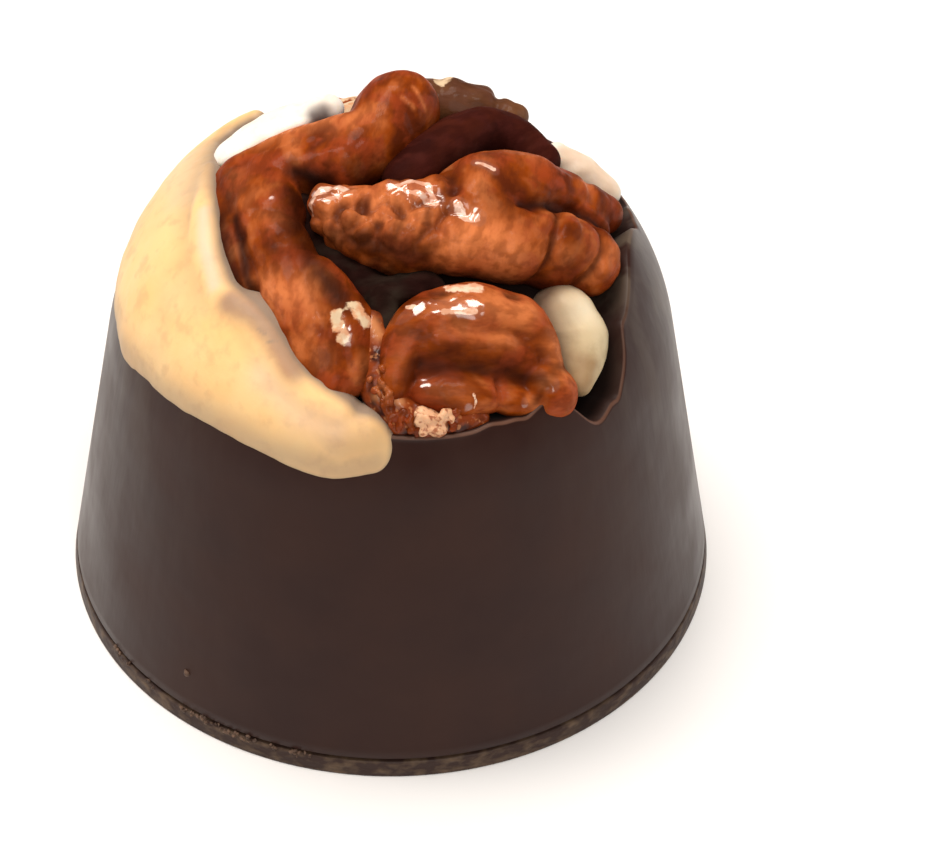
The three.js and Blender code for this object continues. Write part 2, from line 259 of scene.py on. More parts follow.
class Graph:
    """A material whose nodes are laid one after the other."""

    def __init__(self, name: str) -> None:
        """Starts a material.

        Args:
            name: The material's name.
        """
        self.material = bpy.data.materials.new(name)
        self.material.use_nodes = True
        self.tree = self.material.node_tree
        self.shader = self.tree.nodes["Principled BSDF"]
        self.place = self.add("ShaderNodeTexCoord").outputs["Object"]

    def add(self, kind: str, **settings: object) -> bpy.types.Node:
        """Adds a node.

        Args:
            kind: The node's type.
            **settings: Its settings by name.

        Returns:
            The node.
        """
        node = self.tree.nodes.new(kind)
        for name, value in settings.items():
            setattr(node, name, value)
        return node

    def feed(self, socket: bpy.types.NodeSocket, source: object) -> None:
        """Links an output to a socket, or sets the socket to a number or a colour.

        Args:
            socket: The socket.
            source: The output, number or colour.
        """
        if isinstance(source, bpy.types.NodeSocket):
            self.tree.links.new(source, socket)
        elif socket.type == "RGBA":
            socket.default_value = linear(source)
        else:
            socket.default_value = source

    def noise(
        self, size: float, detail: float = 2.0, stretch: tuple[float, float, float] = (1, 1, 1),
        heading: float = 0.0,
    ) -> bpy.types.NodeSocket:
        """Adds a cloudy pattern.

        Args:
            size: The size of its patches, in millimetres.
            detail: How many finer patterns lie over it.
            stretch: How often it repeats along each axis, against its size.
            heading: How far the pattern is turned to the left, seen from above, in degrees.

        Returns:
            Its value, about 0.3 to 0.7.
        """
        turned = self.add("ShaderNodeVectorRotate", rotation_type="Z_AXIS")
        turned.inputs["Angle"].default_value = math.radians(-heading)
        self.feed(turned.inputs["Vector"], self.place)
        mapping = self.add("ShaderNodeMapping")
        mapping.inputs["Scale"].default_value = [share / (size * METRE) for share in stretch]
        self.feed(mapping.inputs["Vector"], turned.outputs["Vector"])
        pattern = self.add("ShaderNodeTexNoise")
        pattern.inputs["Scale"].default_value = 1.0
        pattern.inputs["Detail"].default_value = detail
        self.feed(pattern.inputs["Vector"], mapping.outputs["Vector"])
        return pattern.outputs["Fac"]

    def kept(self, name: str) -> bpy.types.NodeSocket:
        """Gives the numbers that the mesh keeps under a name."""
        return self.add("ShaderNodeAttribute", attribute_name=name).outputs["Fac"]

    def between(
        self, source: bpy.types.NodeSocket, low: float, high: float, least: float = 0.0, most: float = 1.0
    ) -> bpy.types.NodeSocket:
        """Turns a range of a value into another, smoothly.

        Args:
            source: The value.
            low: Where the range starts.
            high: Where it ends.
            least: What the start becomes.
            most: What the end becomes.

        Returns:
            The new value.
        """
        node = self.add("ShaderNodeMapRange", interpolation_type="SMOOTHSTEP")
        for name, value in (("From Min", low), ("From Max", high), ("To Min", least), ("To Max", most)):
            node.inputs[name].default_value = value
        self.feed(node.inputs["Value"], source)
        return node.outputs["Result"]

    def reckon(self, operation: str, first: object, second: object, clamped: bool) -> bpy.types.NodeSocket:
        """Works out a value from two others.

        Args:
            operation: What is done with them.
            first: The first.
            second: The second.
            clamped: Whether it is kept between 0 and 1.

        Returns:
            The new value.
        """
        node = self.add("ShaderNodeMath", operation=operation, use_clamp=clamped)
        self.feed(node.inputs[0], first)
        self.feed(node.inputs[1], second)
        return node.outputs[0]

    def times(self, first: object, second: object) -> bpy.types.NodeSocket:
        """Multiplies two values."""
        return self.reckon("MULTIPLY", first, second, clamped=True)

    def plus(self, first: object, second: object) -> bpy.types.NodeSocket:
        """Adds two values."""
        return self.reckon("ADD", first, second, clamped=False)

    def ramp(self, source: bpy.types.NodeSocket, *stops: tuple[float, Colour]) -> bpy.types.NodeSocket:
        """Turns a value into a colour.

        Args:
            source: The value.
            *stops: Values and their colours.

        Returns:
            The colour.
        """
        node = self.add("ShaderNodeValToRGB")
        elements = node.color_ramp.elements
        while len(elements) < len(stops):
            elements.new(0.5)
        for element, (position, colour) in zip(elements, stops):
            element.position = position
            element.color = linear(colour)
        self.feed(node.inputs["Fac"], source)
        return node.outputs["Color"]

    def mix(self, share: object, base: object, over: object) -> bpy.types.NodeSocket:
        """Lays a colour over another.

        Args:
            share: How much of it shows.
            base: The colour underneath.
            over: The colour on top.

        Returns:
            The mixed colour.
        """
        node = self.add("ShaderNodeMix", data_type="RGBA")
        for socket, source in ((node.inputs[0], share), (node.inputs[6], base), (node.inputs[7], over)):
            self.feed(socket, source)
        return node.outputs[2]

    def relief(
        self, height: bpy.types.NodeSocket, depth: float, under: bpy.types.NodeSocket | None = None
    ) -> bpy.types.NodeSocket:
        """Makes a fine relief of a value.

        Args:
            height: The value.
            depth: How deep the relief is, in millimetres.
            under: The relief that it lies over.

        Returns:
            The normal.
        """
        node = self.add("ShaderNodeBump")
        node.inputs["Distance"].default_value = depth * METRE
        self.feed(node.inputs["Height"], height)
        if under is not None:
            self.feed(node.inputs["Normal"], under)
        return node.outputs["Normal"]

    def shade(self, **values: object) -> bpy.types.Material:
        """Sets the shader's sockets.

        Args:
            **values: Numbers, colours or outputs, by the socket's name in small letters with underscores.

        Returns:
            The finished material.
        """
        sockets = {socket.name.lower().replace(" ", "_"): socket for socket in self.shader.inputs}
        for name, value in values.items():
            self.feed(sockets[name], value)
        return self.material


# ---- Finishes ----


@dataclass(frozen=True)
class DarkChocolate:
    """Moulded dark chocolate: smooth, almost black brown, with a painted reflection in streaks where it is
    seen at a slant.
    """

    name: str = "dark_chocolate"
    ground: Colour = (45, 23, 18)
    patch: Colour = (53, 30, 23)
    painted_reflection: Colour = (92, 80, 68)  # of the painted reflection, in streaks, on the shoulder's sides and the moat's pale wall
    broken: Colour = (126, 88, 70)  # of the painted highlight along the broken rim's edge
    # the colour of painted shade in the moat, the crown and the caramel's low parts
    hollow_shade: Colour = (20, 8, 5)
    roughness: float = 0.36

    def material(self) -> bpy.types.Material:
        """Makes the material, which reads the piece's painted highlight, painted shade and painted
        reflection.

        Returns:
            The material.
        """
        graph = Graph(self.name)
        clouds = graph.noise(5.0, 3.0)
        streaks = graph.noise(1.6, 3.0, stretch=(1, 1, 0.1))
        colour = graph.ramp(clouds, (0.35, self.ground), (0.7, self.patch))
        # painted reflection, in vertical streaks
        painted_reflection = graph.times(graph.kept("reflection_mask"), graph.between(streaks, 0.42, 0.62))
        colour = graph.mix(painted_reflection, colour, self.painted_reflection)
        # painted shade in the moat and the crown
        sunk = graph.kept("sunk")
        colour = graph.mix(sunk, colour, self.hollow_shade)
        # painted highlight along the rim's edge
        colour = graph.mix(graph.kept("broken"), colour, self.broken)
        roughness = graph.between(clouds, 0.3, 0.7, self.roughness - 0.05, self.roughness + 0.08)
        relief = graph.relief(streaks, 0.03, graph.relief(graph.noise(3.5, 2.0), 0.06))
        return graph.shade(
            base_color=colour, roughness=graph.plus(roughness, graph.times(sunk, 0.6)),
            specular_ior_level=0.16, sheen_weight=0.03, sheen_roughness=0.35, normal=relief,
        )


@dataclass(frozen=True)
class DiscChocolate:
    """The scraped chocolate of the closing disc and of its crumbs."""

    name: str = "disc_chocolate"
    ground: Colour = (54, 36, 30)
    scraped: Colour = (98, 78, 60)

    def material(self) -> bpy.types.Material:
        """Makes the material.

        Returns:
            The material.
        """
        graph = Graph(self.name)
        scrapes = graph.noise(0.9, 4.0, stretch=(1, 1, 2.0))
        colour = graph.ramp(scrapes, (0.44, self.ground), (0.72, self.scraped))
        return graph.shade(
            base_color=colour, roughness=0.5, specular_ior_level=0.25, normal=graph.relief(scrapes, 0.1),
        )


@dataclass(frozen=True)
class WhiteChocolate:
    """Cream white chocolate with a soft sheen and painted shade: duller by the nuts and at its edges, grey
    in its shadows.
    """

    name: str
    ground: Colour
    warm: Colour
    # light: the colour of its painted light and highlights
    light: Colour
    # thin: a duller tone in its mottling, and the colour of painted shade beside the nuts and at its edges
    thin: Colour
    shadow: Colour = (150, 122, 100)
    roughness: float = 0.46
    speckle: float = 0.0

    def material(self) -> bpy.types.Material:
        """Makes the material, which reads the piece's painted light and painted shade.

        Returns:
            The material.
        """
        graph = Graph(self.name)
        clouds = graph.noise(4.5, 3.0)
        mottle = graph.noise(1.0, 4.0)
        colour = graph.ramp(clouds, (0.38, self.ground), (0.62, self.warm))
        colour = graph.mix(graph.between(mottle, 0.48, 0.72, 0.0, 0.3), colour, self.thin)
        # painted light: highlights and lit tops
        colour = graph.mix(graph.kept("painted_light"), colour, self.light)
        # painted shade beside the nuts and at its edges, mottled
        thin = graph.times(graph.kept("thin"), graph.plus(mottle, 0.5))
        colour = graph.mix(graph.between(thin, 0, 1), colour, self.thin)
        # painted shade in its shadows and where it lies low
        colour = graph.mix(graph.kept("sunk"), colour, self.shadow)
        if self.speckle:
            specks = graph.between(graph.noise(0.35, 2.0), 0.5, 0.62, 0.0, self.speckle)
            colour = graph.mix(specks, colour, CARAMEL.ground)
        relief = graph.relief(mottle, 0.06, graph.relief(graph.noise(2.6, 2.0), 0.1))
        return graph.shade(
            base_color=colour, roughness=self.roughness, specular_ior_level=0.24, subsurface_weight=0.12,
            subsurface_radius=(0.9, 0.5, 0.25), subsurface_scale=0.001, normal=relief,
        )


@dataclass(frozen=True)
class GlazedNut:
    """A nut with a dull skin and wet patches of glaze, with painted shade in its wrinkles and hollows and
    painted light on its tops.
    """

    name: str
    # deep: the colour of the painted shade where the nut lies low
    deep: Colour = (26, 8, 4)
    dull: Colour = (94, 34, 4)
    brown: Colour = (142, 60, 5)
    # light: its lightest tone, also the colour of its painted light
    light: Colour = (212, 122, 70)
    blush: Colour = (150, 60, 26)
    # groove: the colour of the painted shade in its wrinkles and hollows
    groove: Colour = (74, 25, 8)
    smear: Colour = (226, 200, 164)  # of the cream that sticks to it, and of its painted highlights
    heading: float = 0.0  # of its fibres, in degrees to the left of right
    glaze: float = 0.03  # how wet it is away from the wet patches
    dullness: float = 0.5  # the roughness under the glaze

    def material(self) -> bpy.types.Material:
        """Makes the material, which reads the piece's painted light, painted shade, cream smears, painted
        highlights and wet patches.

        Returns:
            The material.
        """
        graph = Graph(self.name)
        clouds = graph.noise(2.2, 3.0, stretch=(0.7, 1, 1), heading=self.heading)
        fibres = graph.noise(0.55, 3.0, stretch=(0.4, 1, 1), heading=self.heading)
        patches = graph.noise(1.6, 3.0)
        fine = graph.noise(0.7, 3.0)
        colour = graph.ramp(clouds, (0.38, self.dull), (0.5, self.brown), (0.78, self.light))
        colour = graph.mix(graph.between(patches, 0.46, 0.6, 0.0, 0.7), colour, self.blush)
        colour = graph.mix(graph.between(fibres, 0.42, 0.66, 0.0, 0.5), colour, self.dull)
        # painted light: lit tops and highlights
        painted_light = graph.times(graph.kept("painted_light"), graph.between(fibres, 0.35, 0.6, 1.0, 0.5))
        colour = graph.mix(painted_light, colour, self.light)
        # painted shade in its hollows
        colour = graph.mix(graph.kept("hollow_shade"), colour, self.groove)
        # painted shade where it lies low and under the shade strokes
        sunk = graph.kept("sunk")
        colour = graph.mix(sunk, colour, self.deep)
        # cream smears, and painted highlights in the smear colour
        cream_and_highlight = graph.plus(graph.kept("cream_and_highlight"), graph.noise(0.45, 3.0))
        cream_and_highlight = graph.between(cream_and_highlight, 0.9, 1.1, 0.0, 0.92)
        smear = graph.mix(graph.between(fine, 0.4, 0.6, 0.0, 0.6), self.smear, self.light)
        colour = graph.mix(cream_and_highlight, colour, smear)
        wet = graph.plus(graph.kept("wet"), graph.times(fine, 0.5))
        wet = graph.between(wet, 0.62, 0.8, self.glaze, 1.0)
        ripples = graph.relief(graph.noise(1.5, 1.0), 0.06)
        return graph.shade(
            base_color=colour,
            roughness=graph.between(fibres, 0.3, 0.7, self.dullness - 0.08, self.dullness + 0.1),
            specular_ior_level=0.05, coat_weight=graph.times(wet, graph.between(sunk, 0.0, 0.5, 1.0, 0.0)),
            coat_roughness=0.09, coat_ior=1.9,
            coat_normal=graph.relief(graph.noise(0.8, 1.0), 0.02, ripples),
            normal=graph.relief(fibres, 0.08, ripples),
        )


@dataclass(frozen=True)
class Caramel:
    """Wet caramel with fine crumbs in it, and painted highlights and painted shade."""

    name: str = "caramel"
    deep: Colour = (58, 20, 8)
    ground: Colour = (138, 58, 16)
    # crumb: the colour of its crumbs, and of its painted highlights
    crumb: Colour = (206, 134, 84)

    def material(self) -> bpy.types.Material:
        """Makes the material, which reads the piece's painted highlights and painted shade.

        Returns:
            The material.
        """
        graph = Graph(self.name)
        colour = graph.ramp(graph.noise(1.1, 3.0), (0.38, self.deep), (0.58, self.ground))
        colour = graph.mix(graph.between(graph.noise(0.4, 2.0), 0.58, 0.66, 0.0, 0.5), colour, self.crumb)
        # painted highlights in the crumbs' colour
        colour = graph.mix(graph.kept("painted_light"), colour, self.crumb)
        # painted shade where it lies low
        sunk = graph.kept("sunk")
        colour = graph.mix(sunk, colour, DarkChocolate.hollow_shade)
        return graph.shade(
            base_color=colour, roughness=0.4, specular_ior_level=0.12,
            coat_weight=graph.between(sunk, 0.0, 0.6, 0.3, 0.0), coat_roughness=0.12,
            normal=graph.relief(graph.noise(0.6, 2.0), 0.05),
        )


CARAMEL = Caramel()
SEAM_CRUMB = DiscChocolate("seam_crumb", ground=(70, 52, 42), scraped=(128, 100, 82))
BROWN_NUT = GlazedNut("brown_nut", heading=80)
# The right and the front nut's smear colour is pale pink, for their painted highlights
RIGHT_NUT = GlazedNut("right_nut", heading=80, smear=(244, 206, 184))
FRONT_NUT = GlazedNut("front_nut", smear=(246, 212, 184))
REAR_NUT = GlazedNut("rear_nut", heading=25)
CRUMB_NUT = GlazedNut("crumb_nut", dull=(100, 38, 6), brown=(140, 62, 12), light=(206, 132, 84), glaze=0.12)
GREY_NUT = GlazedNut(
    "grey_nut", dull=(78, 44, 26), brown=(98, 60, 36), light=(124, 84, 56), blush=(96, 58, 42),
    groove=(56, 30, 18), heading=-20,
)
DARK_NUT = GlazedNut(
    "dark_nut", deep=(18, 6, 5), dull=(46, 12, 7), brown=(60, 20, 10), light=(76, 28, 14),
    blush=(66, 24, 18), groove=(34, 10, 6), heading=40, glaze=0.0, dullness=0.7,
)
# The filling under the nuts, near black as painted shade in the gap between them, with a painted reflection
# as its light
SHADED_BED = GlazedNut(
    "dark_bed", deep=(12, 4, 3), dull=(22, 7, 5), brown=(28, 9, 6), light=(50, 42, 34), blush=(36, 14, 10),
    groove=(14, 5, 3), glaze=0.0, dullness=0.85,
)
BAND_CREAM = WhiteChocolate(
    "band_cream", ground=(252, 210, 148), warm=(250, 200, 134), light=(238, 204, 178), thin=(196, 148, 108),
    shadow=(150, 130, 112),
)
PALE_CREAM = WhiteChocolate(
    "pale_cream", ground=(212, 192, 154), warm=(204, 180, 138), light=(232, 216, 186), thin=(158, 128, 92),
)
# A lighter copy of the cream, as painted light where the light washes the smears out
LIT_CREAM = WhiteChocolate(
    "white_cream", ground=(255, 250, 240), warm=(254, 246, 232), light=(255, 253, 248),
    thin=(226, 200, 174), shadow=(110, 100, 96),
)
SPECKLED_CREAM = WhiteChocolate(
    "speckled_cream", ground=(236, 192, 154), warm=(218, 160, 118), light=(246, 222, 196),
    thin=(196, 138, 98), roughness=0.3, speckle=0.75,
)


# ---- Pieces laid on the crown ----


@dataclass(frozen=True)
class Lobe:
    """A rounded ridge, rolled out along knots.

    A lobe with a thickness is a flat skin: its radius is its half width, and it is this thick throughout.
    """

    knots: tuple[Knot, ...]
    thickness: float | None = None
    wrinkle: float = 0.0  # swelling and narrowing along it, as a share of its radius
    wrinkle_length: float = 3.4
    step: float = 0.55
    sides: int = 20
    rings: int = 10
    samples: int = 200  # the points of its path that its length is measured by

    def at(self, share: float) -> np.ndarray:
        """Finds a place along the knots.

        Args:
            share: How much of the way along them it is.

        Returns:
            Its right, back, radius and rise.
        """
        # Right and back follow a smooth curve through the knots, radius and rise go straight
        knots = np.array([(*knot, 0.0)[:4] for knot in self.knots])
        ends = np.vstack((2 * knots[0] - knots[1], knots, 2 * knots[-1] - knots[-2]))
        place = share * (len(knots) - 1)
        first = min(int(place), len(knots) - 2)
        t = place - first
        before, start, end, after = ends[first : first + 4]
        curve = 2 * start + (end - before) * t
        curve = curve + (2 * before - 5 * start + 4 * end - after) * t**2
        curve = 0.5 * (curve + (3 * start - before - 3 * end + after) * t**3)
        straight = start + (end - start) * t
        return np.append(curve[:2], straight[2:])

    def stations(self) -> list[tuple[Vector, float, float]]:
        """Steps along the lobe.

        Returns:
            The middle, the heading and the radius at each step.
        """
        sampled = np.array([self.at(share) for share in np.linspace(0, 1, self.samples)])
        run = np.append(0, np.cumsum(np.hypot(*np.diff(sampled[:, :2], axis=0).T)))
        count = max(3, round(run[-1] / self.step) + 1)
        found = []
        for distance in np.linspace(0, run[-1], count):
            right, back, radius, rise = (np.interp(distance, run, column) for column in sampled.T)
            index = min(max(int(np.searchsorted(run, distance)), 1), len(run) - 1)
            ahead = sampled[index] - sampled[index - 1]
            swell = 1 + self.wrinkle * math.sin(2 * math.pi * distance / self.wrinkle_length)
            half = self.thickness / 2 if self.thickness else radius
            middle = Vector((right, back, rise - half))
            found.append((middle, math.atan2(ahead[1], ahead[0]), radius * swell))
        return found

    def roll_out(self, piece: bpy.types.Object) -> None:
        """Models the lobe in edit mode: a ball whose front half is drawn out along the knots.

        Args:
            piece: The object in edit mode.
        """
        (middle, heading, radius), *others = self.stations()
        bpy.ops.mesh.select_all(action="DESELECT")
        bpy.ops.mesh.primitive_uv_sphere_add(
            segments=self.sides, ring_count=self.rings, radius=radius, location=middle,
            rotation=(0, RIGHT_ANGLE, heading),
        )
        if self.thickness:
            bpy.ops.transform.resize(value=(1, 1, self.thickness / 2 / radius), center_override=middle)
        self.select_front(piece, middle, heading)
        for next_middle, next_heading, next_radius in others:
            bpy.ops.mesh.extrude_region_move(TRANSFORM_OT_translate={"value": next_middle - middle})
            turn = (next_heading - heading + math.pi) % (2 * math.pi) - math.pi
            bpy.ops.transform.rotate(value=-turn, orient_axis="Z", center_override=next_middle)
            grow = next_radius / radius
            size = (grow, grow, 1 if self.thickness else grow)
            bpy.ops.transform.resize(value=size, center_override=next_middle)
            middle, heading, radius = next_middle, next_heading, next_radius

    @staticmethod
    def select_front(piece: bpy.types.Object, middle: Vector, heading: float) -> None:
        """Selects the front half of the ball that was just added.

        Args:
            piece: The object in edit mode.
            middle: The ball's middle.
            heading: The direction that its front half faces, in radians from the right.
        """
        ahead = Vector((math.cos(heading), math.sin(heading), 0))
        mesh = bmesh.from_edit_mesh(piece.data)
        front = [
            face for face in mesh.faces
            if face.select and (face.calc_center_median() - middle).dot(ahead) > 0
        ]
        for face in mesh.faces:
            face.select_set(False)
        for face in front:
            face.select_set(True)
        bmesh.update_edit_mesh(piece.data)


@dataclass(frozen=True)
class Stroke:
    """A line drawn over the crown, with a soft edge: a crease, a ridge or a touch of colour."""

    path: tuple[Spot, ...]
    width: float
    strength: float  # millimetres out of the surface, or a share of colour

    def over(self, spots: np.ndarray) -> np.ndarray:
        """Gives the stroke's strength at each spot.

        Args:
            spots: A row of right and back for each point.

        Returns:
            A number for each point.
        """
        nearest = np.full(len(spots), np.inf)
        ends = self.path[1:] or self.path
        for start, end in zip(np.array(self.path, float), np.array(ends, float)):
            run = end - start
            share = np.clip((spots - start) @ run / max(run @ run, 1e-9), 0, 1)
            nearest = np.minimum(nearest, np.hypot(*(spots - start - share[:, None] * run).T))
        return self.strength * np.exp(-((nearest / self.width) ** 2))


LEAST_SHARE = 0.02  # below this an unevenness doesn't show


@dataclass(frozen=True)
class Grain:
    """An unevenness of a surface: the size of its swells and how far they stand out, in millimetres."""

    size: float
    height: float
    creased: bool = False  # whether creases part the swells
    where: Stroke | None = None  # the part of the piece that it covers

    def press(self, piece: bpy.types.Object) -> None:
        """Presses the unevenness into a piece.

        Args:
            piece: The active object.
        """
        texture = bpy.data.textures.new(f"{piece.name}_grain", "CLOUDS")
        texture.noise_scale = self.size
        texture.noise_depth = 0 if self.creased else 1
        texture.noise_basis = "VORONOI_F2_F1" if self.creased else "BLENDER_ORIGINAL"
        part = piece.vertex_groups.new(name="part")
        flat = points_of(piece)[:, :2]
        shares = self.where.over(flat) if self.where else np.ones(len(flat))
        for index, share in enumerate(shares.tolist()):
            if share > LEAST_SHARE:
                part.add([index], share, "REPLACE")
        modify(
            piece, "DISPLACE", texture=texture, strength=self.height,
            mid_level=0.3 if self.creased else 0.5, texture_coords="LOCAL", vertex_group="part",
        )
        piece.vertex_groups.clear()


class Touch(Enum):
    """What a stroke of colour does, by the attribute that the finishes read."""

    # cream that sticks to a nut, and painted highlights in the same pale colour
    CREAM_AND_HIGHLIGHT = "cream_and_highlight"
    # painted light: highlights and lit tops
    PAINTED_LIGHT = "painted_light"
    # painted shade: in creases, under things, between parts and where the piece lies low
    SUNK = "sunk"
    # painted shade of a duller, warmer tone, on cream beside the nuts and at its edges
    THIN = "thin"
    WET = "wet"


# The fine and the wide hollows that get painted shade: the rounds that find them, their full depth and how
# much shade they get
HOLLOWS = ((14, 0.08, 0.3), (60, 0.3, 0.6))
TOO_SHALLOW = 0.08  # the share of them that gets no painted shade
MOST_HOLLOW = 0.85
SIDE_REACH = 0.4  # how far a crease goes on down the sides: 0 is as far as they face up


@dataclass
class Topping:
    """A piece on the crown, pressed together from lobes, carved and coloured."""

    name: str
    slot: str
    finish: GlazedNut | WhiteChocolate | Caramel
    lobes: tuple[Lobe, ...]
    nodes: tuple[str, ...] = ()
    carving: tuple[Stroke, ...] = ()
    colouring: tuple[tuple[Touch, Stroke], ...] = ()
    grains: tuple[Grain, ...] = (Grain(1.7, 0.28), Grain(0.65, 0.1))
    fineness: float = 0.13  # of its mesh, in millimetres
    softening: int = 6  # rounds of smoothing where the lobes meet
    sunk_from: float = -1.0  # below this height it gets painted shade
    sunk_to: float = -3.4

    def press_together(self) -> bpy.types.Object:
        """Models the lobes and makes one skin of them.

        Returns:
            The piece, in millimetres and still flat.
        """
        bpy.ops.object.select_all(action="DESELECT")
        bpy.ops.object.add(type="MESH")
        piece = new_piece(self.name)
        for lobe in self.lobes:
            lobe.roll_out(piece)
        bpy.ops.object.mode_set(mode="OBJECT")
        modify(piece, "REMESH", mode="VOXEL", voxel_size=self.fineness)
        modify(piece, "SMOOTH", factor=0.5, iterations=self.softening)
        return piece

    def carve(self, piece: bpy.types.Object) -> None:
        """Draws the creases and ridges into the side that faces up.

        Args:
            piece: The piece, still flat.
        """
        for stroke in self.carving:
            flat = points_of(piece)
            facing = normals_of(piece)
            lift = stroke.over(flat[:, :2]) * np.clip(facing[:, 2] + SIDE_REACH, 0, 1)
            move_points(piece, flat + facing * lift[:, None])
        for grain in self.grains:
            grain.press(piece)

    def colour(self, piece: bpy.types.Object) -> None:
        """Keeps what the finish reads: painted shade from the hollows and from the depth, and the strokes of
        colour.

        Args:
            piece: The piece, still flat.
        """
        flat = points_of(piece)
        values = {touch: np.zeros(len(flat)) for touch in Touch}
        # painted shade that deepens as the piece lies lower
        values[Touch.SUNK] = np.clip((self.sunk_from - flat[:, 2]) / (self.sunk_from - self.sunk_to), 0, 1)
        for touch, stroke in self.colouring:
            values[touch] = np.maximum(values[touch], stroke.over(flat[:, :2]))
        for touch, shares in values.items():
            keep_values(piece, touch.value, np.clip(shares, 0, 1))
        # painted shade in the hollows, found from the shape
        shown = sum(share * (hollowness(piece, rounds) / depth) for rounds, depth, share in HOLLOWS)
        keep_values(piece, "hollow_shade", np.clip(evened(piece, shown - TOO_SHALLOW, 3), 0, MOST_HOLLOW))

    def make(self) -> None:
        """Models the piece, lays it over the dome and finishes it."""
        piece = self.press_together()
        self.carve(piece)
        self.colour(piece)
        move_points(piece, MOULD.lay(points_of(piece)) * METRE)
        finished(piece, self.finish.material(), self.slot, *self.nodes)


def strokes(*marks: tuple[Spot | float, ...]) -> tuple[Stroke, ...]:
    """Gives strokes, each from the spots of its path, its width and its strength."""
    return tuple(Stroke(tuple(path), width, strength) for *path, width, strength in marks)


def touches(touch: Touch, *marks: tuple[Spot | float, ...]) -> tuple[tuple[Touch, Stroke], ...]:
    """Gives strokes of one touch of colour, each from the spots of its path, its width and its strength."""
    return tuple((touch, stroke) for stroke in strokes(*marks))


def nut_lobes(*paths: tuple[Knot, ...]) -> tuple[Lobe, ...]:
    """Gives the lobes of a nut along paths."""
    return tuple(Lobe(path, wrinkle=0.03) for path in paths)


# Touches where the top nut's arm meets the left nut, for both: painted light on the arm's top, painted shade
# in the crease under it and a wet patch
CORNER_TOUCHES = (
    *touches(Touch.PAINTED_LIGHT, ((-7.2, 2.0), (-3.4, 2.2), 0.8, 1.0)),
    *touches(Touch.SUNK, ((-5.4, -1.3), (-4.6, -1.6), (-3.4, -2.0), 0.5, 0.95)),
    *touches(Touch.WET, ((-4.4, 0.6), 0.4, 0.7)),
)


SOFT_GRAINS = (Grain(2.2, 0.2), Grain(0.8, 0.06))


def top_pecan() -> Topping:
    """The top nut: a thick end that stands up at the back and a smooth arm to the left.

    Returns:
        The nut, to be made.
    """
    lobes = nut_lobes(
        ((-2.7, 0.1, 1.8, 0.1), (-0.9, 2.3, 2.3, 0.9), (0.5, 4.8, 2.5, 1.7)),
        ((-9.7, 0.7, 1.5, 0.0), (-7.8, 1.3, 1.6, 0.05), (-5.2, 1.7, 1.7, 0.1), (-2.2, 2.0, 1.9, 0.45)),
        ((-5.0, 0.9, 1.6, -0.05), (-3.2, 0.6, 1.8, 0.1), (-1.9, 1.2, 2.0, 0.4)),
        ((-6.6, 0.2, 1.5, -0.1), (-4.8, -0.2, 1.6, -0.1), (-2.8, -0.1, 1.8, 0.05)),
    )
    carving = strokes(((0.6, 2.8), (1.2, 1.8), 0.35, -0.08), ((-0.6, 4.2), (0.6, 3.6), 0.5, 0.08))
    # painted light: short highlights on the end and a lit patch where the arm joins it
    painted_light = touches(
        Touch.PAINTED_LIGHT, ((-2.8, 1.4), (-1.4, 1.8), 0.8, 0.55), ((1.2, 3.6), (1.8, 3.0), 0.14, 0.8),
        ((0.6, 2.9), (1.2, 2.6), 0.12, 0.7),
    )
    wet = touches(Touch.WET, ((0.6, 3.4), (1.9, 2.6), 0.4, 0.4))
    # painted shade under the end, along the dark arch and the crinkled end
    sunk = touches(Touch.SUNK, ((-1.8, -1.6), (0.4, -0.8), (1.8, 0.8), (2.9, 2.6), 0.8, 0.75))
    return Topping(
        name="nut_top", slot="glazed_pecan", finish=BROWN_NUT, nodes=("pecan_top",), lobes=lobes,
        carving=carving, colouring=CORNER_TOUCHES + painted_light + wet + sunk, grains=SOFT_GRAINS, softening=16,
    )


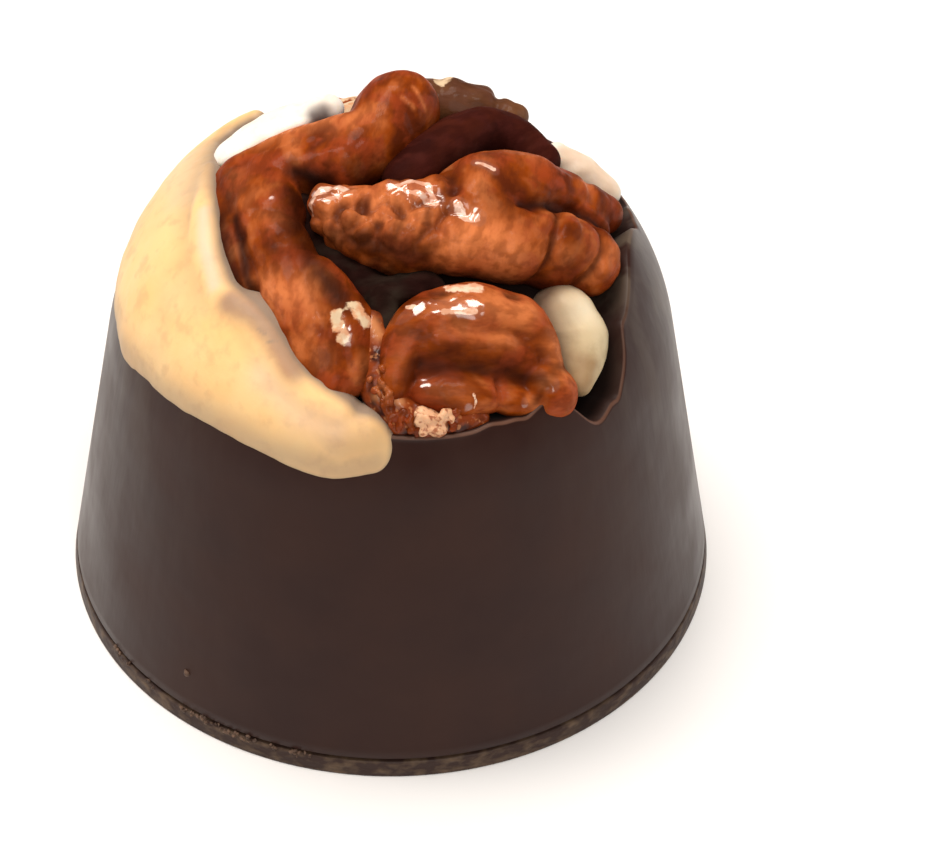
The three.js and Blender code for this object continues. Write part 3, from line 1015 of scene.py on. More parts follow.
def left_pecan() -> Topping:
    """The nut down the left front, with painted shade on its flank and the corner where the top nut's arm
    joins it.

    Returns:
        The nut, to be made.
    """
    lobes = nut_lobes(
        ((-8.2, -1.6, 1.9), (-7.0, -5.8, 2.1), (-5.7, -9.6, 2.4), (-4.7, -13.0, 2.4), (-3.8, -14.8, 2.0)),
        ((-10.4, -0.6, 1.1, -0.2), (-9.7, -4.3, 1.1, -0.2), (-8.6, -8.1, 1.0, -0.2)),
        ((-9.5, 0.4, 1.5, 0.05), (-8.8, -1.8, 1.8, 0.1), (-8.0, -4.2, 1.8, 0.05)),
        ((-9.7, 0.7, 1.5, -0.03), (-7.8, 1.3, 1.6, 0.07), (-5.6, 1.6, 1.7, 0.1), (-3.8, 1.8, 1.5, -0.05)),
        ((-7.6, 0.4, 1.5), (-7.3, -1.4, 1.8), (-7.0, -3.6, 1.9)),
        ((-7.0, 0.3, 1.6, 0.02), (-5.6, -0.1, 1.6, -0.05), (-4.4, -0.3, 1.4, -0.25)),
        ((-4.6, -8.8, 1.6, -0.25), (-3.1, -11.6, 2.1, -0.1), (-2.5, -14.3, 1.9, 0.05)),
    )
    carving = strokes(
        ((-9.2, -5.4), (-9.0, -7.2), (-8.8, -8.6), 0.22, -0.07),
        ((-9.0, -2.6), (-8.5, -5.2), (-8.3, -7.2), (-8.1, -9.0), 0.35, -0.14), ((-6.5, -10.0), 1.4, 0.15),
        ((-5.0, -8.4), (-4.3, -10.0), 0.6, -0.1), ((-6.8, -12.2), (-4.8, -12.6), (-3.2, -12.0), 0.5, -0.12),
        ((-3.2, -13.2), (-3.8, -14.4), (-4.5, -15.4), 0.4, -0.14),
        ((-7.4, -6.0), (-6.4, -6.8), (-5.2, -6.9), 0.6, -0.12),
    )
    # painted light: its knee, its lower end and lit patches up its ridge
    painted_light = touches(
        Touch.PAINTED_LIGHT, ((-7.0, -9.4), (-5.6, -10.0), (-4.6, -9.8), 1.1, 0.9),
        ((-5.2, -12.8), (-4.2, -13.6), 0.9, 0.4), ((-7.2, -4.8), (-6.4, -5.2), 0.8, 0.3),
        ((-8.6, -0.6), (-8.4, -3.0), 0.8, 0.25),
    )
    # painted shade on its flank, in its creases and down its right side
    sunk = touches(
        Touch.SUNK, ((-10.3, -3.4), (-9.0, -4.2), 0.4, 0.6),
        ((-10.0, -3.6), (-9.6, -6.0), (-9.0, -8.8), 0.9, 0.88), ((-9.8, -0.8), (-9.2, -2.2), 0.9, 0.3),
        ((-6.8, -7.0), (-5.6, -7.6), 0.8, 0.35), ((-8.8, -4.2), (-8.4, -7.2), (-8.2, -9.2), 0.4, 0.85),
        ((-5.6, -3.0), (-5.0, -6.6), (-4.0, -9.0), (-2.9, -10.6), 0.8, 0.75),
        ((-1.6, -13.4), (-1.4, -15.6), 0.4, 0.5),
    )
    cream_and_highlight = touches(
        Touch.CREAM_AND_HIGHLIGHT, ((-3.1, -11.6), (-2.6, -12.8), 0.55, 0.75),
        ((-2.1, -11.1), (-1.4, -11.9), 0.55, 0.75),
    )
    wet = touches(Touch.WET, ((-3.0, -11.6), (-2.4, -13.0), 0.5, 0.7), ((-6.6, -3.6), 0.4, 0.5))
    return Topping(
        name="nut_left", slot="glazed_pecan", finish=BROWN_NUT, nodes=("pecan_left",), lobes=lobes,
        carving=carving, colouring=CORNER_TOUCHES + painted_light + sunk + cream_and_highlight + wet, grains=SOFT_GRAINS,
        softening=16,
    )


def right_pecan() -> Topping:
    """The wide nut across the middle and right: two fused ridges, creased, and a crinkled end.

    Returns:
        The nut, to be made.
    """
    crinkled = Stroke(((-3.2, -4.8), (-0.4, -5.6), (2.0, -5.4)), 2.2, 1.0)
    crinkles = (
        ((-1.3, -4.6), (-1.8, -5.9), (-2.3, -7.0)), ((0.3, -4.9), (0.6, -6.0), (0.3, -7.4)),
        ((2.0, -5.2), (1.9, -6.6), (1.2, -7.8)), ((-2.6, -5.0), (-3.0, -5.6), (-2.9, -6.4)),
        ((-0.8, -6.2), (-0.5, -7.0), (-0.8, -8.0)),
    )
    middle_crease = ((9.5, -3.2), (9.2, -5.4), (9.3, -7.8))
    end_crease = ((12.3, -2.6), (12.5, -4.4), (12.2, -6.8))
    creases = (
        *((*path, 0.28, -0.2) for path in crinkles),
        (*middle_crease, 0.3, -0.36), (*end_crease, 0.32, -0.26),
        ((11.0, -3.0), (10.9, -4.8), (10.8, -6.8), 0.35, -0.12),
        ((6.5, -5.2), (6.3, -6.6), (6.2, -8.0), 0.35, -0.1),
        ((3.3, -1.2), (3.2, -2.8), (3.4, -4.0), 0.4, -0.22),
        ((4.7, -2.0), (4.5, -3.6), (4.9, -4.8), 0.45, 0.12),
        ((2.7, -5.6), (2.4, -6.8), (2.7, -8.2), 0.4, -0.2),
        ((12.0, 2.2), (11.7, 0.8), (12.0, -0.6), 0.4, -0.14),
        ((8.4, 2.0), (8.0, 0.4), (8.2, -1.0), 0.5, -0.08),
        ((7.0, -3.9), (9.0, -2.9), (11.0, -1.8), 0.36, -0.3),
        ((11.0, -1.8), (12.4, -1.5), (13.8, -1.5), 0.36, -0.26),
    )
    lobes = nut_lobes(
        ((-3.7, -3.8, 1.3, -0.15), (-1.6, -4.3, 1.7, -0.05), (1.2, -4.1, 1.9, 0.1), (3.0, -3.6, 1.9, 0.1)),
        ((4.6, -2.2, 2.4, 0.15), (6.4, -1.1, 2.8, 0.35), (8.8, -0.4, 2.7, 0.3), (11.4, 0.4, 2.1, 0.1)),
        (
            (2.9, -6.5, 1.8), (6.1, -6.0, 2.1, 0.05), (9.0, -4.9, 2.4, 0.2), (11.0, -4.2, 2.7, 0.3),
            (12.6, -4.0, 2.4, 0.2),
        ),
        ((13.0, -3.2, 1.6, 0.05), (13.3, -4.0, 1.7, 0.1), (13.2, -4.8, 1.6, 0.05)),
        ((-3.3, -4.8, 1.4, -0.25), (-1.4, -5.9, 2.0, -0.2), (1.1, -6.2, 2.2, -0.1), (3.3, -5.2, 2.3, 0.1)),
        ((3.9, -3.6, 2.1, 0.15), (5.8, -2.8, 2.2, 0.25), (8.0, -2.2, 2.0, 0.15)),
        ((3.0, -5.0, 2.2, 0.1), (5.2, -4.6, 2.1, 0.2), (6.6, -4.3, 1.9, 0.1)),
        ((11.4, 0.4, 2.0, 0.05), (13.4, 1.0, 1.6, 0.1), (14.3, 1.5, 1.3, 0.1)),
        ((11.6, -1.0, 1.7, -0.3), (13.2, -0.8, 1.6, -0.35)),
    )
    # painted light on its tops and its crinkled end
    painted_light = touches(
        Touch.PAINTED_LIGHT, ((3.8, -7.2), (4.8, -6.4), (6.4, -7.2), 1.6, 1.0),
        ((9.8, -6.4), (10.6, -5.8), 0.7, 0.15), ((12.4, -5.4), (13.2, -4.2), 0.8, 0.6),
        ((5.0, -1.6), (4.6, -3.8), 0.6, 0.5), ((6.4, 0.4), (8.4, 0.6), 0.8, 0.3),
        ((11.6, 0.6), (11.8, 1.6), 0.6, 0.6), ((-2.4, -4.8), (1.4, -5.4), 1.8, 0.95),
    )
    # painted shade in its creases, under the crinkled end and between its ridges
    sunk = touches(
        Touch.SUNK, ((3.3, -1.0), (3.3, -3.8), 0.4, 0.45),
        ((-3.2, -6.4), (0.2, -7.8), (1.8, -7.9), 0.7, 0.7), *((*path, 0.24, 0.35) for path in crinkles),
        ((5.4, -4.3), (6.4, -4.5), 0.9, 0.35),
        ((7.2, -3.8), (9.0, -2.9), (11.0, -1.8), (13.6, -1.5), 0.4, 0.85),
        ((10.6, -5.0), (11.0, -6.4), 1.2, 0.35), ((6.6, -3.2), (8.0, -2.6), 1.0, 0.3),
        (*middle_crease, 0.2, 0.5), (*end_crease, 0.2, 0.45), ((13.8, -0.2), (15.0, -0.8), 0.8, 0.5),
    )
    # painted highlights, pale pink, where the glaze catches the light
    cream_and_highlight = touches(
        Touch.CREAM_AND_HIGHLIGHT, ((-4.3, -4.6), (-4.3, -4.0), (-3.4, -3.5), (-2.5, -3.7), 0.26, 1.0),
        ((-3.4, -4.7), (-2.9, -4.2), 0.22, 0.9),
        ((0.3, -3.9), (1.2, -3.4), (1.9, -3.6), (2.1, -4.2), (2.4, -4.9), 0.2, 1.0),
        ((0.7, -4.2), (1.5, -4.5), (2.3, -4.9), 0.2, 0.9),
        ((3.5, -5.2), (3.9, -5.8), (4.6, -5.7), 0.26, 1.0), ((4.6, -1.8), (5.5, -2.1), 0.15, 1.0),
    )
    wet = touches(
        Touch.WET, ((-4.0, -4.2), (-2.4, -3.8), 0.7, 1.0), ((0.4, -3.8), (2.2, -4.6), 0.8, 1.0),
        ((3.5, -5.2), (4.6, -5.7), 0.6, 1.0), ((4.6, -1.8), (5.5, -2.1), 0.4, 1.0),
    )
    return Topping(
        name="nut_right", slot="glazed_pecan", finish=RIGHT_NUT, nodes=("pecan_right",), lobes=lobes,
        carving=strokes(*creases), colouring=painted_light + sunk + cream_and_highlight + wet,
        grains=(Grain(2.0, 0.24), Grain(0.8, 0.08), Grain(1.4, 0.9, creased=True, where=crinkled)),
        softening=14,
    )


def front_pecan() -> Topping:
    """The front nut: an arch over a groove darkened with painted shade, a sill of rounded lumps and a knob
    at its right end.

    Returns:
        The nut, to be made.
    """
    lobes = (
        *nut_lobes(
            (
                (0.1, -15.6, 1.1), (0.8, -13.1, 1.5), (2.5, -11.6, 1.8), (5.3, -10.9, 2.0, 0.1),
                (8.2, -10.9, 1.8), (9.7, -12.0, 1.3), (10.3, -13.1, 1.0),
            ),
            ((2.2, -12.9, 1.8, -0.1), (5.4, -12.7, 1.9, -0.1), (8.2, -12.7, 1.7, -0.15)),
            ((2.0, -14.3, 1.8, -0.4), (5.4, -14.2, 1.9, -0.45), (9.2, -13.8, 1.6, -0.4)),
        ),
        Lobe((
            (2.0, -15.8, 0.9, 0.0), (3.1, -15.7, 1.3, 0.25), (4.5, -15.6, 1.4, 0.35),
            (5.9, -15.5, 1.1, 0.2),
        )),
        Lobe(((6.2, -15.6, 0.85, 0.0), (7.6, -15.5, 0.95, 0.1), (9.0, -15.2, 0.85, 0.1))),
        Lobe(((9.9, -14.3, 1.6, 0.7), (10.6, -14.2, 1.65, 0.75))),
    )
    carving = strokes(
        ((6.4, -14.6), (6.7, -15.4), (6.9, -16.6), 0.28, -0.16),
        ((9.2, -14.4), (9.4, -15.2), (9.5, -16.2), 0.25, -0.24), ((2.4, -10.3), (3.0, -10.2), 0.35, -0.2),
        ((6.7, -9.7), (7.3, -9.6), 0.35, -0.2), ((3.2, -15.4), (3.8, -16.2), 0.3, -0.08),
    )
    # painted shade in the groove and its creases, and around the knob
    sunk = touches(
        Touch.SUNK, ((1.8, -14.3), (5.0, -14.2), (9.0, -13.9), 0.55, 0.75),
        ((2.2, -13.5), (5.0, -13.4), (8.6, -13.2), 0.7, 0.3), ((2.3, -10.3), (2.9, -10.2), 0.35, 0.6),
        ((6.7, -9.7), (7.3, -9.6), 0.35, 0.6),
        ((8.9, -15.2), (9.1, -14.2), (9.8, -13.0), (10.8, -12.7), 0.28, 0.5),
    )
    # painted light on the arch's top and face, and highlights on the knob and the sill
    painted_light = touches(
        Touch.PAINTED_LIGHT, ((3.4, -10.9), (7.6, -10.6), 0.9, 0.9), ((3.0, -12.2), (7.0, -12.2), 0.6, 0.5),
        ((9.6, -11.6), (10.4, -13.0), 0.7, 0.7), ((0.9, -12.6), (0.2, -14.8), 0.6, 0.2),
        ((2.4, -15.5), (4.4, -15.6), 0.6, 0.3), ((9.1, -14.1), (9.4, -13.8), 0.3, 0.9),
        ((8.5, -15.2), (9.1, -15.5), 0.3, 1.0),
    )
    # a cream patch on the arch's back, then painted highlights on the arch and the sill
    cream_and_highlight = touches(
        Touch.CREAM_AND_HIGHLIGHT, ((3.4, -9.9), (4.9, -9.7), 0.5, 0.7), ((2.9, -11.4), (4.6, -11.2), 0.22, 1.0),
        ((0.9, -11.2), (1.7, -11.3), 0.18, 0.8), ((5.0, -16.2), (5.0, -15.8), (4.8, -15.5), 0.12, 0.62),
    )
    wet = touches(
        Touch.WET, ((2.6, -11.1), (4.6, -11.1), 0.6, 1.0), ((0.4, -11.8), (1.4, -11.2), 0.5, 1.0),
        ((2.0, -15.3), 0.4, 0.7), ((4.6, -16.2), 0.4, 0.7), ((8.2, -15.4), 0.4, 0.7),
        ((9.6, -14.0), 0.6, 0.8),
    )
    return Topping(
        name="nut_front", slot="glazed_pecan", finish=FRONT_NUT, nodes=("pecan_front",), lobes=lobes,
        carving=carving, colouring=sunk + painted_light + cream_and_highlight + wet,
        grains=(Grain(2.0, 0.2), Grain(0.8, 0.07)), fineness=0.11, softening=22,
    )


def dark_pecan() -> Topping:
    """The dark smooth arch between the top and the right nut.

    Returns:
        The nut, to be made.
    """
    lobes = (Lobe((
        (0.8, -0.8, 1.4, -0.7), (3.0, 2.5, 1.7, -0.5), (5.7, 5.3, 1.7, 0.05), (8.0, 5.8, 1.6, 0.0),
        (9.9, 4.5, 1.3, -0.35),
    )),)
    return Topping(
        name="nut_dark", slot="dark_pecan", finish=DARK_NUT, nodes=("pecan_dark",), lobes=lobes,
        # painted light along its top
        colouring=touches(Touch.PAINTED_LIGHT, ((5.2, 6.2), (8.0, 6.2), 0.9, 0.5)),
        grains=(Grain(2.2, 0.15), Grain(0.8, 0.05)),
    )


REAR_GRAINS = (Grain(2.0, 0.3), Grain(1.6, 0.2, creased=True))


def back_pecan() -> Topping:
    """The grey brown nut at the back, in two ridges with a knob at the right.

    Returns:
        The nut, to be made.
    """
    lobes = nut_lobes(
        ((1.8, 9.0, 1.6, 0.5), (4.2, 8.7, 1.9, 0.8), (6.2, 8.2, 1.5, 0.5)),
        ((6.6, 7.9, 1.2, 0.5), (7.5, 7.6, 1.15, 0.45)), ((6.4, 8.8, 1.4, 0.2), (7.2, 8.8, 1.2, 0.1)),
        ((1.4, 12.2, 1.4, -0.2), (4.2, 12.4, 2.0, -0.1), (7.2, 11.2, 1.7, -0.3)),
        ((1.6, 10.6, 1.6, 0.0), (4.2, 10.5, 2.0, 0.15), (6.9, 9.8, 1.6, 0.0)),
    )
    carving = strokes(
        ((6.3, 6.6), (6.5, 9.6), 0.3, -0.2), ((3.0, 7.2), (2.8, 10.4), 0.35, -0.15),
        ((1.4, 10.6), (4.2, 10.5), (7.0, 9.9), 0.4, -0.3), ((3.2, 11.2), (3.4, 14.0), 0.4, -0.12),
    )
    return Topping(
        name="nut_back", slot="glazed_pecan", finish=GREY_NUT, nodes=("pecan_back",), lobes=lobes,
        # a painted highlight, pale pink, on its top
        carving=carving, colouring=touches(Touch.CREAM_AND_HIGHLIGHT, ((2.9, 8.4), (3.5, 9.4), 0.6, 1.0)),
        grains=REAR_GRAINS,
    )


def rear_pecan() -> Topping:
    """A nut behind the top one, out of the photographer's sight.

    Returns:
        The nut, to be made.
    """
    lobes = nut_lobes(
        ((-7.2, 11.2, 1.4, -0.2), (-5.4, 13.0, 2.0), (-2.6, 14.8, 1.8), (0.2, 15.6, 1.1)),
        ((-6.0, 8.9, 1.2, -0.9), (-3.4, 10.6, 1.7, -0.9), (-0.8, 12.0, 1.3, -0.9)),
        ((-6.4, 10.3, 1.5, -0.4), (-4.2, 12.0, 1.8, -0.3), (-1.6, 13.5, 1.6, -0.4)),
    )
    carving = strokes(
        ((-6.4, 10.4), (-4.2, 12.0), (-1.2, 13.6), 0.4, -0.3), ((-4.6, 12.4), (-4.0, 15.2), 0.4, -0.15),
    )
    cream_and_highlight = touches(
        Touch.CREAM_AND_HIGHLIGHT, ((-4.4, 9.2), (-2.0, 10.2), 1.3, 1.0), ((-4.2, 11.6), (-1.8, 12.6), 0.9, 0.75),
    )
    return Topping(
        name="nut_rear", slot="glazed_pecan", finish=REAR_NUT, nodes=("pecan_rear",), lobes=lobes,
        carving=carving, colouring=cream_and_highlight, grains=REAR_GRAINS,
    )


def cream_band() -> Topping:
    """The broad band over the left shoulder, with its plump inner lip and its round lobe in front.

    Returns:
        The piece, to be made.
    """
    lobes = (
        Lobe(
            (
                (-1.4, -18.6, 1.8, 0.4), (-4.0, -18.3, 2.1, 0.4), (-7.1, -16.4, 2.5, 0.4),
                (-9.9, -13.6, 3.4, 0.4), (-13.0, -9.6, 4.3, 0.4), (-15.2, -5.4, 5.1, 0.4),
                (-15.7, -0.2, 5.4, 0.4), (-14.7, 4.4, 4.6, 0.4), (-12.6, 7.8, 3.0, 0.4),
                (-10.2, 8.7, 1.5, 0.4), (-8.6, 8.0, 0.8, 0.4),
            ),
            thickness=1.5, sides=32,
        ),
        Lobe((
            (-11.0, 2.0, 0.7, 0.1), (-10.9, -0.6, 0.9, 0.3), (-10.9, -2.5, 1.0, 0.45),
            (-10.8, -4.6, 1.1, 0.5), (-10.6, -6.6, 1.2, 0.5), (-9.9, -8.9, 1.3, 0.5),
            (-8.6, -10.5, 1.4, 0.45), (-7.4, -12.2, 1.3, 0.45), (-6.3, -14.4, 1.3, 0.5),
            (-4.8, -16.0, 1.4, 0.5), (-3.2, -17.0, 1.4, 0.5),
        )),
        Lobe(((-9.2, -9.6, 1.2, 0.1), (-7.9, -10.2, 1.1, -0.1), (-7.0, -11.8, 1.0, -0.1))),
        Lobe(((-6.4, -16.2, 1.5, 0.4), (-3.8, -17.8, 1.8, 0.6), (-1.6, -18.2, 1.8, 0.6))),
    )
    # painted highlight along the lip, painted light on the front lobe and on the top at the left
    painted_light = touches(
        Touch.PAINTED_LIGHT, ((-10.5, -3.0), (-10.4, -5.6), (-9.9, -8.4), 0.4, 0.8),
        ((-7.6, -14.0), (-5.6, -16.4), (-3.4, -17.4), 0.9, 0.45), ((-13.0, 5.0), (-12.2, 0.0), 1.8, 0.35),
    )
    # painted shade along the inner edge, beside the left nut
    thin = touches(
        Touch.THIN, ((-9.0, -9.6), (-7.6, -10.6), (-6.5, -12.2), (-5.6, -14.0), 0.8, 1.0),
        ((-10.2, 2.2), (-9.9, -1.4), 0.8, 0.6),
    )
    # painted shade beside the left nut, on the front lobe and along the lower edge
    sunk = touches(
        Touch.SUNK, ((-9.0, -9.6), (-7.4, -11.0), (-6.3, -12.4), (-5.2, -14.2), 0.7, 0.55),
        ((-7.4, -11.6), (-7.0, -12.0), 0.12, 0.8), ((-6.9, -12.4), (-6.4, -12.5), 0.12, 0.8),
        ((-3.2, -18.6), (-1.0, -18.2), 1.8, 0.42), ((-5.4, -19.0), (-3.2, -19.8), (-1.0, -19.4), 1.2, 0.6),
        ((-19.0, -6.8), (-15.9, -11.8), (-11.4, -15.7), (-7.8, -18.1), (-4.2, -19.5), 1.2, 0.6),
    )
    return Topping(
        name="cream_swoosh", slot="white_chocolate", finish=BAND_CREAM, nodes=("cream_band",), lobes=lobes,
        grains=(Grain(5.0, 0.25), Grain(1.5, 0.06)), colouring=painted_light + thin + sunk, fineness=0.16,
        softening=16, sunk_from=0.36, sunk_to=-0.14,
    )


def cream_drop() -> Topping:
    """The drop below the right nut.

    Returns:
        The piece, to be made.
    """
    lobes = (Lobe((
        (12.5, -8.4, 2.4, -0.7), (13.2, -9.4, 2.4, -0.3), (13.4, -10.8, 1.9, -0.35),
        (13.1, -12.8, 0.9, -0.4),
    )),)
    # a painted highlight on its top
    painted_light = touches(Touch.PAINTED_LIGHT, ((12.2, -8.4), 1.2, 0.9))
    # painted shade on its lower end and its right side
    thin = touches(
        Touch.THIN, ((12.8, -11.8), (13.0, -13.8), 1.0, 0.9), ((15.0, -7.6), (14.8, -10.0), 0.5, 0.5),
    )
    return Topping(
        name="cream_drop", slot="white_chocolate", finish=PALE_CREAM, nodes=("cream_right",), lobes=lobes,
        grains=(Grain(2.5, 0.12),), colouring=painted_light + thin, softening=16, sunk_from=-0.7, sunk_to=-2.2,
    )


def cream_smears() -> list[Topping]:
    """The smears of white chocolate behind the nuts.

    Returns:
        The right one and the left one.
    """
    shared = dict(slot="white_chocolate", finish=LIT_CREAM, softening=10, grains=(Grain(1.6, 0.3),))
    return [
        Topping(
            name="cream_smear_right", nodes=("cream_back_right",),
            lobes=(
                Lobe(((10.9, 6.0, 0.9, -0.1), (12.6, 5.7, 1.1, 0.15), (15.0, 5.2, 0.8, 0.2))),
                Lobe(((11.6, 6.6, 1.0, -0.3), (12.4, 8.0, 0.7, -0.8)), thickness=1.0),
            ),
            # painted shade along its front
            colouring=touches(Touch.THIN, ((11.4, 5.2), (14.6, 4.6), 1.2, 0.85)), **shared,
        ),
        Topping(
            name="cream_smear_left", nodes=("cream_back_left",),
            lobes=(
                Lobe(
                    ((-9.6, 3.5, 1.5, 0.15), (-7.0, 4.4, 1.9, 0.3), (-4.8, 5.2, 1.6, 0.25)), thickness=1.3,
                ),
                Lobe(((-4.5, 4.6, 0.9, 0.45), (-3.6, 4.9, 0.9, 0.5))),
                Lobe(
                    ((-8.4, 4.8, 1.6, -0.1), (-7.6, 6.4, 1.1, -0.5), (-7.2, 7.6, 0.7, -0.8)), thickness=1.0,
                ),
                Lobe(((-5.6, 5.8, 1.2, 0.0), (-5.0, 6.9, 0.8, -0.5)), thickness=1.0),
            ),
            # a spot of painted shade
            colouring=touches(Touch.SUNK, ((-4.4, 3.7), (-3.8, 3.9), 0.5, 1.0)), **shared,
        ),
    ]


def crown_bed() -> Topping:
    """The filling that the nuts lie in, coloured near black as painted shade, which shows in the gap between
    them and at the back.

    Returns:
        The piece, to be made.
    """
    lobes = (
        Lobe((
            (-5.8, -1.8, 1.3, -1.9), (-4.4, -5.0, 1.6, -1.9), (-2.8, -8.0, 1.9, -1.8),
            (-0.6, -9.8, 1.8, -1.6), (2.4, -9.2, 1.3, -1.7),
        )),
        Lobe(((-0.6, -9.8, 1.5, -1.5), (-0.5, -12.2, 1.3, -1.3), (-0.4, -13.6, 1.1, -1.1))),
        Lobe(
            (
                (-11.2, 3.0, 3.2, -1.6), (-8.8, 9.0, 4.4, -1.4), (-1.0, 12.2, 4.2, -1.3),
                (7.0, 10.6, 4.4, -1.4), (11.6, 5.6, 3.8, -1.5), (13.6, 0.0, 2.2, -1.7),
            ),
            thickness=2.0, sides=32,
        ),
        Lobe(((-5.0, 5.8, 3.4, -1.5), (5.0, 6.4, 3.4, -1.5)), thickness=2.0, sides=32),
    )
    return Topping(
        name="crown_bed", slot="caramel", finish=SHADED_BED, lobes=lobes,
        # a painted reflection in the gap next to the front nut
        colouring=touches(Touch.PAINTED_LIGHT, ((0.3, -10.2), (0.1, -11.6), 0.6, 0.7)),
        grains=(Grain(2.0, 0.7), Grain(0.8, 0.2)), fineness=0.16, sunk_from=-1.9, sunk_to=-2.9,
    )


def caramel_pool() -> Topping:
    """The caramel between the left and the front nut and along the rim.

    Returns:
        The piece, to be made.
    """
    lobes = (Lobe((
        (-1.4, -11.8, 1.0, -1.0), (-0.9, -13.6, 1.2, -0.6), (-0.7, -15.5, 1.4, -0.15),
        (0.7, -17.2, 1.5, 0.1), (3.1, -17.4, 1.3), (5.6, -16.9, 1.0, -0.2),
    )),)
    # painted highlights on the caramel
    painted_light = touches(
        Touch.PAINTED_LIGHT, ((-0.9, -15.9), (0.6, -16.2), 0.25, 0.8), ((-1.1, -11.9), (-0.7, -12.6), 0.35, 0.9),
    )
    return Topping(
        name="caramel_pool", slot="caramel", finish=CARAMEL, nodes=("caramel",), lobes=lobes,
        colouring=painted_light, grains=(Grain(1.3, 0.3), Grain(0.5, 0.08)), fineness=0.1, softening=8,
        sunk_from=-1.2, sunk_to=-2.2,
    )


@dataclass(frozen=True)
class Crumbs:
    """Crumbs of one kind, scattered along a path by the rim."""

    name: str
    slot: str
    finish: GlazedNut | WhiteChocolate
    path: tuple[tuple[float, float, float], ...]  # right, back and rise
    count: int
    size: float
    heap: tuple[Lobe, ...] = ()
    scatter: float = 0.5  # how far they lie from the path
    longest: float = 0.16  # how far they are drawn out at most

    def topping(self, chance: np.random.Generator) -> Topping:
        """Places the crumbs by chance.

        Args:
            chance: Where the random numbers come from.

        Returns:
            The crumbs as one topping.
        """
        lumps = list(self.heap)
        for _ in range(self.count):
            place = chance.uniform(0, len(self.path) - 1)
            knots = range(len(self.path))
            right, back, rise = (np.interp(place, knots, column) for column in zip(*self.path))
            right, back = np.array((right, back)) + chance.uniform(-self.scatter, self.scatter, 2)
            radius = self.size * chance.uniform(0.7, 1.5)
            ahead, aside = chance.uniform(-self.longest, self.longest, 2)
            rise += chance.uniform(-0.1, 0.1)
            ends = ((right, back, radius, rise), (right + ahead, back + aside, 0.9 * radius, rise))
            lumps.append(Lobe(ends, step=0.2, sides=12, rings=8))
        return Topping(
            name=self.name, slot=self.slot, finish=self.finish, lobes=tuple(lumps),
            grains=(Grain(0.5, 0.1),), fineness=0.06, softening=3,
        )


def crumbs() -> list[Topping]:
    """The crumbs of nut and cream in the caramel.

    Returns:
        The nut crumbs and the cream flakes.
    """
    chance = np.random.default_rng(4)
    nut = Crumbs(
        "crumbs_nut", "glazed_pecan", CRUMB_NUT, count=64, size=0.17,
        path=(
            (-0.9, -14.8, -0.1), (-0.5, -16.0, 0.15), (0.3, -17.1, 0.3), (1.3, -17.5, 0.2),
            (4.4, -16.9, 0.1),
        ),
    )
    cream = Crumbs(
        "crumbs_cream", "white_chocolate", SPECKLED_CREAM, count=22, size=0.2,
        path=((1.9, -17.0, 0.35), (2.4, -17.3, 0.45), (3.0, -17.3, 0.4), (4.2, -16.9, 0.2)),
        heap=(Lobe(((1.9, -17.1, 0.7, 0.3), (2.9, -17.4, 0.7, 0.3))),),
    )
    return [nut.topping(chance), cream.topping(chance)]


# ---- Chocolate ----


@dataclass(frozen=True)
class Wave:
    """A change on one side of the cup: its direction and width, in degrees from the right, and its size."""

    at: float
    width: float
    size: float = 1.0

    def over(self, degrees: float | np.ndarray) -> float | np.ndarray:
        """Gives the change in a direction, or in each of many."""
        away = (degrees - self.at + 180) % 360 - 180
        return self.size * np.exp(-((away / self.width) ** 2))


